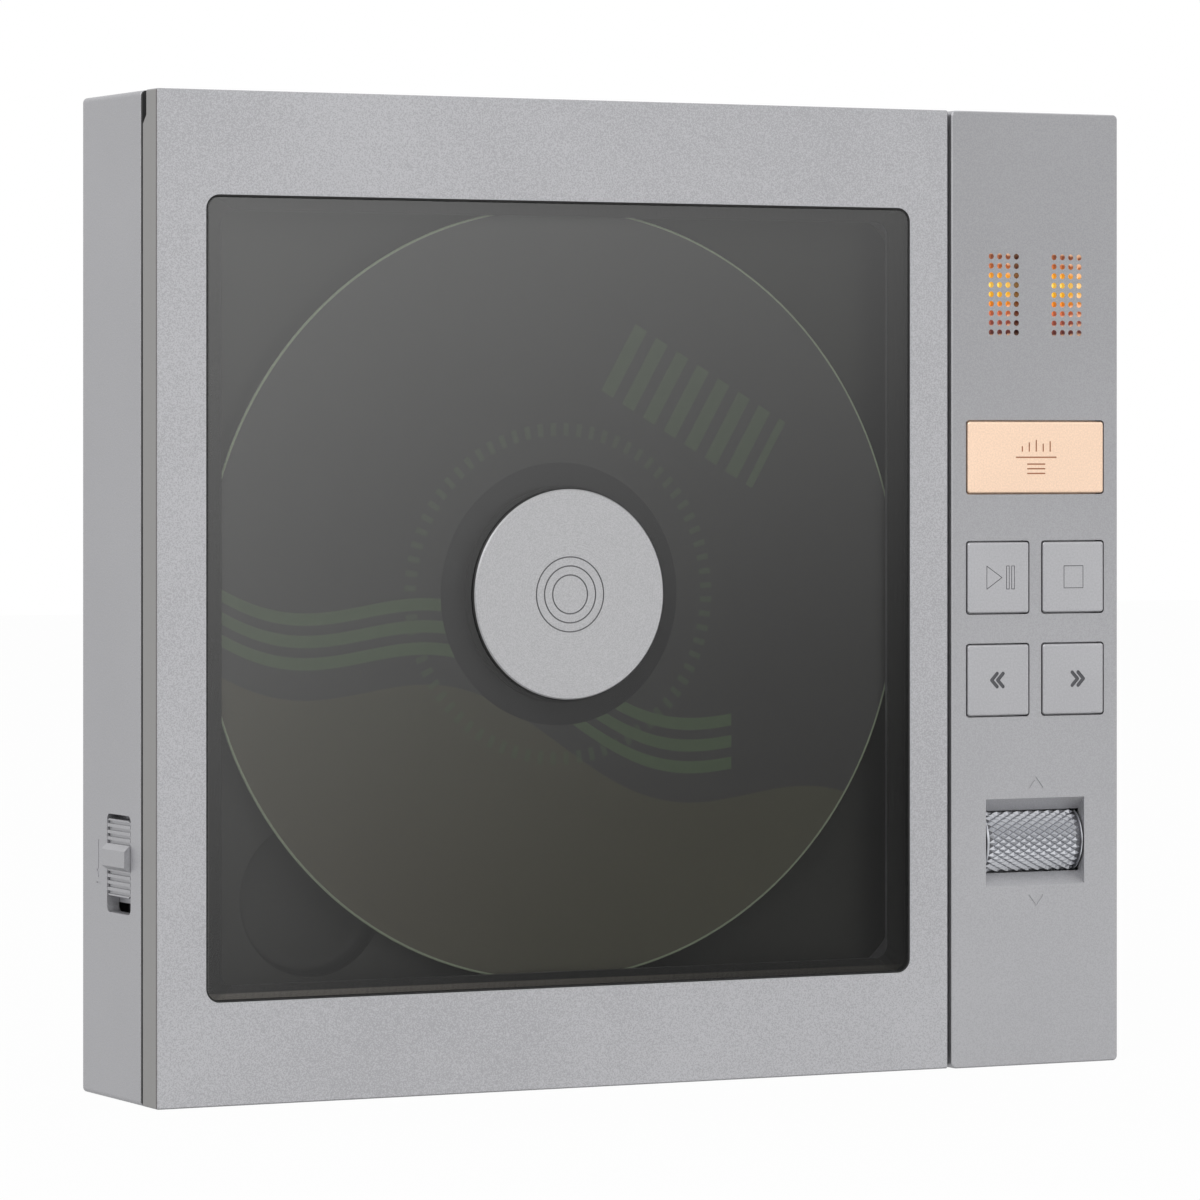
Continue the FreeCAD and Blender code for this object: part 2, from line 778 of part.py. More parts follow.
def clamp_rotor():
    flange = rod_through(disc_x, disc_z, rotor_flange_radius, rotor_front, rotor_front + clamp_flange)
    nose = rod_through(disc_x, disc_z, rotor_nose_radius, rotor_front, disc_front - 0.1)
    magnet_pocket = rod_through(disc_x, disc_z, rotor_nose_radius - clamp_wall, rotor_front - 1,
                               rotor_front + clamp_flange + 0.1)
    hub_pocket = rod_through(disc_x, disc_z, disc_bore + 0.4, hub_front - 0.35, disc_front)
    return joined([flange, nose]).cut(magnet_pocket).cut(hub_pocket)


def clamp_magnet():
    return ring(disc_x, disc_z, rotor_nose_radius - clamp_wall - 0.05, clamp_magnet_hole,
                rotor_front + 0.05, rotor_front + clamp_flange)


def lid_catch():
    """A plate on the lid with a tongue whose barb points down, behind the slider's hook."""
    left, right = catch_left, catch_left + catch_width
    tongue_back = hook_back + 0.25 + 1.2
    base = box(left - 1.7, left + 2.3, lid_thickness - 1.0, lid_thickness,
               slider_height - 5.9, slider_height + 6.6)
    tongue = box(left, right, lid_thickness - 0.5, tongue_back, slider_height - 0.9, slider_height + 3.1)
    barb = box(left, right, hook_back + 0.25, tongue_back,
               slider_height - 0.9 - catch_barb, slider_height)
    return joined([base, tongue, barb])


hook_front = rim_back + 0.2
hook_back = hook_front + 0.6


def hinge_arms():
    arms = []
    for middle in hinge_places:
        x0, x1 = middle - hinge_arm_width / 2, middle + hinge_arm_width / 2
        low = hinge_z - 11.0
        outline = [(lid_thickness - 1.0, low), (lid_thickness, low), (lid_thickness, hinge_z - 5.4),
                   (hinge_back + 1.9, hinge_z - 0.8), (hinge_back, hinge_z),
                   (hinge_back - 1.9, hinge_z + 0.8), (lid_thickness - 1.0, hinge_z - 3.0)]
        knuckle = rod_x(hinge_back, hinge_z, knuckle_radius, x0, x1)
        hole = rod_x(hinge_back, hinge_z, hinge_pin_radius + hinge_clearance, x0 - 1, x1 + 1)
        arms.append(joined([prism_x(outline, x0, x1), knuckle]).cut(hole))
    return arms


def lid_magnet():
    return rod_through(magnet_place[0], magnet_place[1], 2.0, lid_thickness - 1.55, lid_thickness - 0.1)


def lid_sensor():
    x, z = magnet_place
    return box(x - 2.0, x + 2.0, rim_back + touch_gap, rim_back + 1.3, z - 1.5, z + 1.5)


# Disc, turntable and clamp share one middle

pad_front = disc_front + disc_thickness
platter_front = pad_front + pad_thickness
hub_front = platter_front - hub_length
platter_back = platter_front + turntable_thickness


def disc():
    body = ring(disc_x, disc_z, disc_radius, disc_bore, disc_front, disc_front + disc_thickness)
    return chamfer_at_y(body, disc_front, 0.12)


def turntable():
    hub = disc_bore - hub_clearance
    boss_back = deck_front - 0.9
    outline = [(0, hub_front), (hub - 1.2, hub_front), (hub, disc_front + 0.1), (hub, platter_front),
               (turntable_radius, platter_front), (turntable_radius, platter_back), (3.0, platter_back),
               (3.0, boss_back), (0, boss_back)]
    body = turned(outline, disc_x, disc_z)
    return body.cut(rod_through(disc_x, disc_z, shaft_radius, platter_front - 1.0, boss_back + 1))


def disc_pad():
    return ring(disc_x, disc_z, turntable_radius - 0.4, pad_inner_radius, pad_front, platter_front)


def spindle_shaft():
    return rod_through(disc_x, disc_z, shaft_radius, platter_front - 1.0, deck_back + motor_height - 1.0)


# The tray and the mechanism behind it

scoop_x = disc_x - (disc_radius + scoop_outside) * math.cos(math.radians(scoop_turn))
scoop_z = disc_z - (disc_radius + scoop_outside) * math.sin(math.radians(scoop_turn))
tray_hole_radius = turntable_radius + tray_hole_room
lens_x = disc_x + lens_start
sled_right = lens_x + 8.0
sled_left = sled_right - sled_length
sled_front = deck_back + 0.5
sled_back = sled_front + sled_thickness
lower_rod_z = disc_z - rod_spacing / 2
upper_rod_z = disc_z + rod_spacing / 2
sled_half_height = rod_spacing / 2 + rod_radius + 1.1
left_clamp = sled_left - 0.4 - clamp_block
right_clamp = sled_right + sled_travel + 0.4
deck_left = disc_x - deck_left_reach
deck_right = right_clamp + clamp_block + 0.6
deck_low = lower_rod_z - deck_below_rods
deck_high = upper_rod_z + deck_above_rods
deck_mounts = [(x, z) for x in (deck_left + 5.0, tray_x1 - damper_radius)
               for z in (deck_low + 5.0, deck_high - 5.0)]
rack_line = disc_z + rod_spacing / 2 + 7.5
pinion_radius = rack_module * pinion_teeth / 2
gear_radius = gear_module * gear_teeth / 2
motor_pinion_radius = gear_module * motor_teeth / 2
gear_x = sled_right + 1.3
gear_z = rack_line + pinion_radius
motor_angle = math.radians(120)
sled_motor_x = gear_x + (gear_radius + motor_pinion_radius) * math.cos(motor_angle)
sled_motor_z = gear_z + (gear_radius + motor_pinion_radius) * math.sin(motor_angle)
pinion_front = sled_front - 0.2
pinion_back = sled_front + rack_width + 0.3
boss_back = deck_front - 0.6


def scoop(radius, fillet, front, back):
    """A round dish with a straight side, a rounded corner and a flat bottom."""
    dish = rod_through(scoop_x, scoop_z, radius, front, back)
    return dish.makeFillet(fillet, edges_at_y(dish, back))


def disc_tray():
    gap = fit_gap
    platform = plate(tray_x0 + gap, tray_x1 - gap, tray_z0 + gap, tray_z1 - gap, tray_front, tray_back,
                     tray_corner - gap)
    flange_front = rim_back + touch_gap
    flange_back = flange_front + 1.0
    flange = plate(tray_x0 - tray_flange, tray_x1 + tray_flange, tray_z0 - tray_flange,
                   tray_z1 + tray_flange, flange_front, flange_back, tray_corner)
    flange = flange.cut(plate(tray_x0 + 2.5, tray_x1 - 2.5, tray_z0 + 2.5, tray_z1 - 2.5, flange_front - 1,
                              flange_back + 1, tray_corner - 2))
    tabs = []
    for x, z in tray_tab_places:
        outward = 1 if z > disc_z else -1
        low, high = sorted((z - outward * 2.0, z + outward * tray_tab))
        tabs.append(box(x - 3.0, x + 3.0, flange_front, flange_back, low, high))
    bosses = [rod_through(x, z, 2.6, tray_back - 0.5, boss_back) for x, z in deck_mounts]
    cup = scoop(scoop_radius + scoop_wall, scoop_fillet + scoop_wall, tray_front,
                tray_front + scoop_depth + scoop_wall)
    tray = joined([platform, flange] + tabs + bosses + [cup])
    dish = scoop(scoop_radius, scoop_fillet, tray_front - 1, tray_front + scoop_depth)
    slot_half = tray_slot_width / 2
    slot_end = lens_x + sled_travel + 5.3
    cuts = [dish, rod_through(disc_x, disc_z, tray_hole_radius, tray_front - 1, tray_back + 3),
            plate(disc_x, slot_end, disc_z - slot_half, disc_z + slot_half, tray_front - 1,
                  tray_back + 3, 3.0)]
    cuts += [rod_through(x, z, screw_radius + 0.05, tray_back - 1.0, boss_back + 1) for x, z in deck_mounts]
    cuts += [rod_through(x, tray_tab_screw_z(z), screw_radius + 0.05, flange_front - 1, flange_back + 1)
             for x, z in tray_tab_places]
    return without(tray, cuts)


def mechanism_deck():
    deck = plate(deck_left, deck_right, deck_low, deck_high, deck_front, deck_back, deck_corner)
    post = rod_through(gear_x, gear_z, shaft_radius, deck_front, sled_back + 0.2)
    half = turret_half + 1.0
    cuts = [rod_through(disc_x, disc_z, 3.1, deck_front - 1, deck_back + 1),
            plate(lens_x - half, lens_x + half + sled_travel, disc_z - half, disc_z + half,
                  deck_front - 1, deck_back + 1, 2.0),
            rod_through(sled_motor_x, sled_motor_z, sled_motor_radius + 0.05, deck_front - 1, deck_back + 1)]
    cuts += [rod_through(x, z, damper_radius - 1.2, deck_front - 1, deck_back + 1) for x, z in deck_mounts]
    return without(deck, cuts).fuse(post)


def deck_dampers():
    dampers = []
    neck = damper_radius - 1.25
    back = boss_back + damper_height
    for x, z in deck_mounts:
        outline = [(screw_radius + 0.05, boss_back), (damper_radius, boss_back),
                   (damper_radius, deck_front - 0.03), (neck, deck_front - 0.03),
                   (neck, deck_back + 0.03), (damper_radius, deck_back + 0.03),
                   (damper_radius, back), (screw_radius + 0.05, back)]
        dampers.append(turned(outline, x, z))
    return dampers


def spindle_motor():
    can = rod_through(disc_x, disc_z, motor_radius, deck_back, deck_back + motor_height)
    can = chamfer_at_y(can, deck_back + motor_height, 0.6)
    nose = rod_through(disc_x, disc_z, 3.05, deck_front - 0.2, deck_back + 0.5)
    bore = rod_through(disc_x, disc_z, shaft_radius + shaft_clearance, deck_front - 1,
                       deck_back + motor_height - 0.8)
    return joined([can, nose]).cut(bore)


def guide_rods():
    return [rod_x(rod_y, z, rod_radius, left_clamp, right_clamp + clamp_block)
            for z in (lower_rod_z, upper_rod_z)]


def rod_clamps():
    clamps = []
    for x in (left_clamp, right_clamp):
        for z in (lower_rod_z, upper_rod_z):
            block = box(x, x + clamp_block, deck_back, rod_y + rod_radius + 1.0, z - 3.0, z + 3.0)
            clamps.append(block.cut(rod_x(rod_y, z, rod_radius + 0.01, x - 1, x + clamp_block + 1)))
    return clamps


def gear_outline(teeth, module, x, z, first_tooth):
    """Involute teeth about a middle, with one tooth pointing at a given angle."""
    pressure = math.radians(20)
    pitch = module * teeth / 2
    base = pitch * math.cos(pressure)
    tip = pitch + tooth_addendum * module
    root = pitch - tooth_dedendum * module
    half = math.pi / (2 * teeth) - tooth_play / 2 / pitch
    steps = 4
    radii = [root] + [max(base, root) + (tip - max(base, root)) * step / steps for step in range(steps + 1)]

    def half_angle(radius):
        slope = math.acos(min(1.0, base / radius))
        return half + (math.tan(pressure) - pressure) - (math.tan(slope) - slope)

    outline = []
    for tooth in range(teeth):
        middle = first_tooth + 2 * math.pi * tooth / teeth
        flank = [(radius, -half_angle(radius)) for radius in radii]
        flank += [(radius, half_angle(radius)) for radius in reversed(radii)]
        outline += [(x + radius * math.cos(middle + turn), z + radius * math.sin(middle + turn))
                    for radius, turn in flank]
    return outline


def rack_outline():
    """The toothed bar's outline, with a tooth right under the pinion."""
    pitch = math.pi * rack_module
    slope = math.tan(math.radians(20))
    root = rack_line - tooth_dedendum * rack_module
    tip = rack_line + tooth_addendum * rack_module
    half_root = pitch / 4 - tooth_play / 2 + tooth_dedendum * rack_module * slope
    half_tip = pitch / 4 - tooth_play / 2 - tooth_addendum * rack_module * slope
    first = -math.ceil(sled_travel / pitch) - 1
    bottom = root - 2.0
    outline = [(gear_x + 2 * pitch, bottom), (gear_x + (first - 0.5) * pitch, bottom),
               (gear_x + (first - 0.5) * pitch, root)]
    for tooth in range(first, 2):
        x = gear_x + tooth * pitch
        outline += [(x - half_root, root), (x - half_tip, tip), (x + half_tip, tip), (x + half_root, root)]
    return outline + [(gear_x + 2 * pitch, root)]


def pickup_sled():
    """The carriage on the two rods, its turret below the lens and its rack."""
    base = box(sled_left, sled_right, sled_front, sled_back, disc_z - sled_half_height,
               disc_z + sled_half_height)
    turret = plate(lens_x - turret_half, lens_x + turret_half, disc_z - turret_half,
                   disc_z + turret_half, deck_front - 0.8, sled_front + 0.5, 1.5)
    arm = box(sled_left, sled_right, sled_front, sled_front + rack_width, disc_z + sled_half_height - 1,
              rack_line - tooth_dedendum * rack_module - 0.2)
    rack = prism_y(rack_outline(), sled_front, sled_front + rack_width)
    sled = joined([base, turret, arm, rack])
    bores = [rod_x(rod_y, z, rod_radius + rod_clearance, sled_left - 1, sled_right + 1)
             for z in (lower_rod_z, upper_rod_z)]
    pocket = plate(sled_left + 3.0, sled_right - 3.0, disc_z - 12.0, disc_z + 12.0, sled_back - 1.8,
                   sled_back + 1, 1.0)
    return without(sled, bores + [pocket])


def objective_lens():
    holder_back = deck_front - 0.8 - lens_travel - 0.2
    holder_front = holder_back - 1.5
    holder = plate(lens_x - 4.5, lens_x + 4.5, disc_z - 6.0, disc_z + 6.0, holder_front, holder_back, 1.0)
    lens = rod_through(lens_x, disc_z, lens_radius, holder_front - 0.6, holder_front + 0.2)
    return joined([holder, lens])


def sled_motor():
    back = pinion_back - 0.4
    can = rod_through(sled_motor_x, sled_motor_z, sled_motor_radius, back - sled_motor_height, back)
    flange = rod_through(sled_motor_x, sled_motor_z, sled_motor_radius + 0.7, deck_back, deck_back + 0.6)
    bore = rod_through(sled_motor_x, sled_motor_z, 0.5 + shaft_clearance, back - 2.0, back + 1)
    return joined([can, flange]).cut(bore)


def sled_gear():
    space = -math.pi / 2 + math.pi / pinion_teeth
    pinion = prism_y(gear_outline(pinion_teeth, rack_module, gear_x, gear_z, space), pinion_front,
                     pinion_back + 0.2)
    wheel = prism_y(gear_outline(gear_teeth, gear_module, gear_x, gear_z, motor_angle), pinion_back,
                    pinion_back + gear_width)
    bore = rod_through(gear_x, gear_z, shaft_radius + shaft_clearance, pinion_front - 1, pinion_back + 4)
    return joined([pinion, wheel]).cut(bore)


def motor_pinion():
    space = motor_angle + math.pi + math.pi / motor_teeth
    pinion = prism_y(gear_outline(motor_teeth, gear_module, sled_motor_x, sled_motor_z, space),
                     pinion_back - 0.1, pinion_back + gear_width + 0.2)
    shaft = rod_through(sled_motor_x, sled_motor_z, 0.5, pinion_back - 2.0, pinion_back + gear_width + 0.2)
    return joined([pinion, shaft])


# The control strip

def button_marks(name, x, z):
    """The sign cut into each button, as solids to cut away."""
    front, back = -button_proud - 1, -button_proud + engraving
    if name == "play_button":
        lines = [[(x - 2.2, z - 1.85), (x - 2.2, z + 1.85), (x + 0.6, z), (x - 2.2, z - 1.85)]]
        for left in (1.45, 2.4):
            lines.append([(x + left, z - 1.85), (x + left, z + 1.85), (x + left + 0.5, z + 1.85),
                          (x + left + 0.5, z - 1.85), (x + left, z - 1.85)])
        return strokes(lines, engraving_line / 2, front, back)
    if name == "stop_button":
        half = 1.78
        corners = [(x - half, z - half), (x - half, z + half), (x + half, z + half), (x + half, z - half),
                   (x - half, z - half)]
        return strokes([corners], engraving_line / 2, front, back)
    if name in skip_shifts:
        side = -1 if name == "previous_button" else 1
        tips = [x + skip_shifts[name] + side * along for along in (-0.05, 1.05)]
        lines = [[(tip - side, z + 1.05), (tip, z), (tip - side, z - 1.05)] for tip in tips]
        return strokes(lines, skip_line, front, back)
    lines = [[(x - 3.7, z), (x + 3.7, z)]]
    for number, high in enumerate((0.7, 1.3, 1.7, 1.1, 1.5)):
        bar = x + (number - 2) * 1.3
        lines.append([(bar, z + 1.0), (bar, z + 1.0 + high)])
    lines += [[(x - 1.6, z - 1.1 - row * 0.75), (x + 1.6, z - 1.1 - row * 0.75)] for row in range(3)]
    return strokes(lines, engraving_line, front, back)


def button(name):
    place = button_places()[name]
    x, z, wide, high = place
    lip_front = strip_wall + touch_gap
    lip_back = lip_front + button_lip_thickness
    face = button_plate(place, 0, -button_proud, lip_back, button_radius - fit_gap)
    face = face.makeFillet(button_bevel, edges_at_y(face, -button_proud))
    lip = button_plate(place, button_lip, lip_front, lip_back, button_radius)
    stem = rod_through(x, z, button_stem_radius, lip_back - 0.2, button_stem)
    return joined([face, lip, stem]).cut(button_marks(name, x, z))


def key_board():
    low = min(z for x, z in key_post_places) - 2.6
    board = box(strip_left + wall + 0.5, width - wall - 0.5, key_board_front, key_board_back, low,
                menu_z + menu_height / 2)
    holes = [rod_through(x, z, screw_radius + 0.1, key_board_front - 1, key_board_back + 1)
             for x, z in key_post_places]
    return without(board, holes)


def key_switches():
    front = button_stem + button_travel + 0.1
    switches = []
    for x, z, wide, high in button_places().values():
        base = box(x - 2.2, x + 2.2, front + 0.35, key_board_front, z - 2.2, z + 2.2)
        switches.append(base.fuse(rod_through(x, z, 1.2, front, front + 0.5)))
    return switches


def volume_wheel():
    half = wheel_width / 2
    wheel = rod_x(wheel_y, wheel_height, wheel_radius, strip_middle - half, strip_middle + half)
    rims = [edge for edge in wheel.Edges if abs(edge.Length - 2 * math.pi * wheel_radius) < 0.01]
    wheel = wheel.makeChamfer(0.25, rims)
    return wheel.cut(rod_x(wheel_y, wheel_height, axle_radius, strip_middle - half - 1,
                           strip_middle + half + 1))


def wheel_axle():
    return rod_x(wheel_y, wheel_height, axle_radius, bracket_left - encoder_thickness + 0.9,
                 bracket_right - 0.1)


def wheel_bracket():
    front, back = strip_wall + touch_gap, wheel_y + wheel_radius + 0.5
    low, high = wheel_height - bracket_half, wheel_height + bracket_half
    pieces = [box(bracket_left, bracket_left + bracket_ear, front, back + 1.0, low, high),
              box(bracket_right - bracket_ear, bracket_right, front, back + 1.0, low, high),
              box(bracket_left, bracket_right, back, back + 1.0, low, high),
              box(bracket_left, bracket_right, front, front + 1.0, low, wheel_height - bracket_tab),
              box(bracket_left, bracket_right, front, front + 1.0, wheel_height + bracket_tab, high)]
    cuts = [rod_x(wheel_y, wheel_height, axle_radius + wheel_bore_gap, bracket_left - 1, bracket_right + 1)]
    for side in (1, -1):
        z = wheel_height + side * (bracket_tab + 2.2)
        cuts += [rod_through(x, z, screw_radius + 0.1, front - 1, front + 2) for x in bracket_screw_places()]
    return without(joined(pieces), cuts)


def wheel_encoder():
    body = box(bracket_left - encoder_thickness, bracket_left, wheel_y - axle_radius - 0.7, wheel_y + 4.8,
               wheel_height - 5.0, wheel_height + 5.0)
    return body.cut(rod_x(wheel_y, wheel_height, axle_radius + wheel_bore_gap,
                          bracket_left - encoder_thickness + 0.6, bracket_left + 1))


# The open slider on the left side, its guide and its spring

slider_low = slider_height - slider_length / 2
slider_high = slider_height + slider_length / 2
slider_rear = slider_front + slider_width
guide_low = slider_height - 16.9
guide_high = slider_height + 9.1
shelf_thickness = 1.2
flange_low = slider_low - 1.15
spring_low = guide_low + shelf_thickness + 0.1
spring_high = flange_low - 0.1


def open_slider():
    """A ribbed block with a finger tab outside, a flange and the lid's hook inside."""
    block = side_plate(slider_front, slider_rear, slider_low, slider_high, 0, wall + 0.6, 0.85)
    tab_middle = slider_height
    tab = [(0.5, tab_middle - 1.9), (0, tab_middle - 1.9), (-slider_tab, tab_middle - slider_tab_height / 2),
           (-slider_tab, tab_middle + slider_tab_height / 2), (0, tab_middle + 2.2), (0.5, tab_middle + 2.2)]
    flange = box(wall + touch_gap, wall + touch_gap + 1.2, hook_back + 0.35, slider_rear + 1.5,
                 flange_low, guide_high - shelf_thickness - 0.1)
    foot = box(wall + 0.1, wall + 2.8, slider_front + 2.9, slider_front + 6.9, flange_low, flange_low + 1.0)
    hook_top = slider_height - 2.2 + hook_overlap
    arm = box(wall + 0.1, wall + touch_gap + 1.2, hook_front, hook_back + 0.5, slider_low, hook_top)
    hook = box(wall + 0.1, catch_left + catch_width + 0.2, hook_front, hook_back, hook_top - 2.1, hook_top)
    body = joined([block, prism_y(tab, slider_front, slider_rear), flange, foot, arm, hook])
    grooves = []
    for step in range(4):
        for z in (slider_high - 0.5 - step * slider_rib_pitch, slider_low + 0.5 + step * slider_rib_pitch):
            grooves.append(box(-1, slider_rib_depth, slider_front - 1, slider_rear + 1, z - 0.25, z + 0.25))
    outside = box(-2, slider_rib_depth, slider_front - 1, slider_rear + 1, slider_low, slider_high)
    return without(body, [outside.common(groove) for groove in grooves])


def latch_guide():
    """A frame behind the slider: two shelves, a rear rail and two ribs that press it to the wall."""
    front, rear = slider_front, slider_rear + 3.2
    inside, outside = wall + 3.0, wall + 4.0
    near = wall + touch_gap
    middle = latch_screw_y()
    pieces = [box(inside, outside, front, rear, guide_low, guide_high),
              box(near, outside, slider_rear + 1.8, rear, guide_low, guide_high),
              box(near, outside, front, rear, guide_low, guide_low + shelf_thickness),
              box(near, outside, front, rear, guide_high - shelf_thickness, guide_high)]
    for y in (slider_front + 0.5, slider_rear - 1.5):
        pieces.append(box(near + 1.25, inside + 0.5, y, y + 1.0, guide_low + 3.0, guide_high))
    lugs = [(guide_low - 4.4, guide_low + 0.1), (guide_high - 0.1, guide_high + 4.4)]
    pieces += [box(near, near + 1.2, middle - 2.3, middle + 2.3, low, high) for low, high in lugs]
    holes = [rod_x(middle, z, screw_radius + 0.1, near - 1, near + 2) for z in latch_screw_places()]
    return without(joined(pieces), holes)


def latch_spring():
    length = spring_high - spring_low - 2 * spring_wire
    helix = Part.makeHelix(spring_pitch, length, spring_radius)
    profile = Part.Wire(Part.makeCircle(spring_wire, point(spring_radius, 0, 0), point(0, 1, 0)))
    spring = Part.Wire(helix).makePipeShell([profile], True, True)
    spring.translate(point(wall + 1.5, slider_front + 4.9, spring_low + spring_wire))
    print("least gap between the spring's turns:", round(spring_pitch - 2 * spring_wire, 3), "mm")
    return spring


# The tubes behind the grilles

tube_low = grille_z - tube_length / 2
tube_places = [strip_middle - grille_offset, strip_middle + grille_offset]


def capsule(x, radius, low, high):
    """An upright rod with a round top."""
    dome = Part.makeSphere(radius, point(x, tube_setback, high - radius))
    return rod_z(x, tube_setback, radius, low, high - radius).fuse(dome).removeSplitter()


def tube_envelopes():
    tubes = []
    for x in tube_places:
        inside = capsule(x, tube_radius - tube_wall, tube_low + tube_wall, tube_low + tube_length - tube_wall)
        tubes.append(capsule(x, tube_radius, tube_low, tube_low + tube_length).cut(inside))
    return tubes


def tube_electrodes():
    """In each tube: a box of an anode between two round spacers, on two support rods."""
    sets = []
    y = tube_setback
    for x in tube_places:
        spacers = [rod_z(x, y, tube_radius - tube_wall - 0.1, z, z + 0.4)
                   for z in (grille_z - 8.4, grille_z + 8.0)]
        rods = [rod_z(x + side * 2.2, y, 0.3, tube_low + tube_wall, grille_z + 8.1) for side in (-1, 1)]
        anode = box(x - 2.0, x + 2.0, y - 1.2, y + 1.2, grille_z - 8.1, grille_z + 8.1)
        sets.append(joined([anode] + spacers + rods))
    return sets


def tube_leads():
    leads = []
    low = tube_low - 3.4
    for x in tube_places:
        for across in (-2.4, -0.8, 0.8, 2.4):
            down = rod_z(x + across, tube_setback, lead_radius, low, tube_low)
            back = rod_through(x + across, low, lead_radius, tube_setback, tube_board_front)
            knee = Part.makeSphere(lead_radius, point(x + across, tube_setback, low))
            leads.append(down.fuse(knee).fuse(back))
    return leads


def tube_sleeves():
    """Soft clips round the tubes, open where the glass comes close to the grille."""
    sleeves = []
    for x in tube_places:
        for low in (tube_low + 1.1, tube_low + tube_length - 5.0 - 1.0):
            outer = rod_z(x, tube_setback, tube_radius + 1.1, low, low + 3.0)
            foot = box(x - 2.0, x + 2.0, tube_setback + 3.0, tube_board_front, low, low + 3.0)
            hole = rod_z(x, tube_setback, tube_radius + 0.03, low - 1, low + 4)
            open_front = box(x - 6.0, x + 6.0, 0, strip_wall + tube_gap, low - 1, low + 4)
            sleeves.append(outer.fuse(foot).cut([hole, open_front]))
    return sleeves


def tube_lamps():
    return [box(x - 1.0, x + 1.0, tube_board_front - 0.8, tube_board_front, grille_z - 1.0, grille_z + 1.0)
            for x in tube_places]


def tube_board():
    reach = tube_post_reach + 2.7
    board = box(strip_left + wall + 1.4, width - wall - 1.4, tube_board_front,
                tube_board_front + board_thickness, grille_z - reach, grille_z + reach)
    return without(board, [rod_through(x, z, screw_radius + 0.1, tube_board_front - 1, tube_board_front + 2)
                           for x, z in tube_post_places])


# The main board, its sockets and the battery

def main_circuit_board():
    left, right = wall + 0.6, width - wall - 0.6
    wide = box(left, right, main_board_front, main_board_back, board_low, board_high)
    low = box(battery_left + battery_width + board_beside_battery, right, main_board_front,
              main_board_back, low_shelf - 2.6, board_low + 1.0)
    holes = [rod_through(x + shelf_width / 2, z + shelf_height / 2, screw_radius + 0.1,
                         main_board_front - 1, main_board_back + 1) for x, z in board_shelves]
    return without(joined([wide, low]), holes)


def board_components():
    """Chips, capacitors and coils on the front of the main board, placed from its edges."""
    y = main_board_front
    chips = [(24.0, -17.5, 12.0, 12.0, 1.4), (48.0, -13.5, 7.0, 7.0, 1.0), (66.0, -11.5, 9.0, 6.0, 1.2),
             (112.0, -13.5, 7.0, 7.0, 1.0), (-42.0, -11.5, 5.0, 4.0, 1.0), (-30.0, -31.5, 6.0, 5.0, 1.2),
             (26.0, 12.0, 9.0, 9.0, 1.4), (-46.0, 14.0, 6.0, 6.0, 1.0), (44.0, 10.0, 5.0, 6.0, 1.2)]
    cans = [(90.0, -9.5), (97.0, -9.5), (-30.0, -15.5), (-30.0, -23.5), (-24.0, 2.9), (-32.0, 2.9)]
    coils = [(16.0, 36.0), (25.0, 36.0), (-42.0, 4.0)]

    def place(across, up):
        """Places below zero count from the right edge, and from the top edge."""
        return (across if across > 0 else width + across, board_low + up if up > 0 else board_high + up)

    parts = []
    for across, up, wide, high, tall in chips:
        x, z = place(across, up)
        parts.append(box(x - wide / 2, x + wide / 2, y - tall, y, z - high / 2, z + high / 2))
    for across, up in cans:
        x, z = place(across, up)
        parts.append(rod_through(x, z, 2.5, y - 3.4, y))
    for across, up in coils:
        x, z = place(across, up)
        parts.append(box(x - 3.0, x + 3.0, y - 2.6, y, z - 3.0, z + 3.0))
    return parts


def battery_pack():
    return box(battery_left, battery_left + battery_width, cover_front - battery_thickness, cover_front,
               battery_low, battery_low + battery_height)


def socket(y, z, bore, depth, shoulder):
    """A round socket: a nose in the side wall, a body on the board and a blind bore."""
    nose_radius = bore + shoulder
    end = width - socket_recess
    nose = rod_x(y, z, nose_radius, width - wall - 1.0, end)
    body = box(end - depth - 1.0, width - wall - 0.1, y - nose_radius, main_board_front,
               z - nose_radius, z + nose_radius)
    return joined([nose, body]).cut(rod_x(y, z, bore, end - depth, end + 1))


def headphone_jack():
    return socket(headphone_y, headphone_height, headphone_bore, headphone_depth, headphone_shoulder)


def balanced_jack():
    return socket(balanced_y, balanced_height, balanced_bore, balanced_depth, balanced_shoulder)


def usb_port():
    """A flat metal shell with a tongue inside."""
    end = width - socket_recess
    half_high, half_wide = usb_shell_height / 2, usb_shell_width / 2
    shell = side_plate(usb_y - half_high, usb_y + half_high, usb_height - half_wide, usb_height + half_wide,
                       end - usb_depth, end, half_high - 0.05)
    foot = box(end - usb_depth, width - wall - 0.2, usb_y, main_board_front, usb_height - 3.0,
               usb_height + 3.0)
    inner_high, inner_wide = half_high - 0.3, half_wide - 0.3
    hollow = side_plate(usb_y - inner_high, usb_y + inner_high, usb_height - inner_wide,
                        usb_height + inner_wide, end - usb_mouth_depth, end + 1, inner_high - 0.05)
    tongue = box(end - usb_mouth_depth - 0.5, end - 1.0, usb_y - usb_tongue_thickness / 2,
                 usb_y + usb_tongue_thickness / 2, usb_height - usb_tongue_width / 2,
                 usb_height + usb_tongue_width / 2)
    return joined([joined([shell, foot]).cut(hollow), tongue])


# Writing every piece

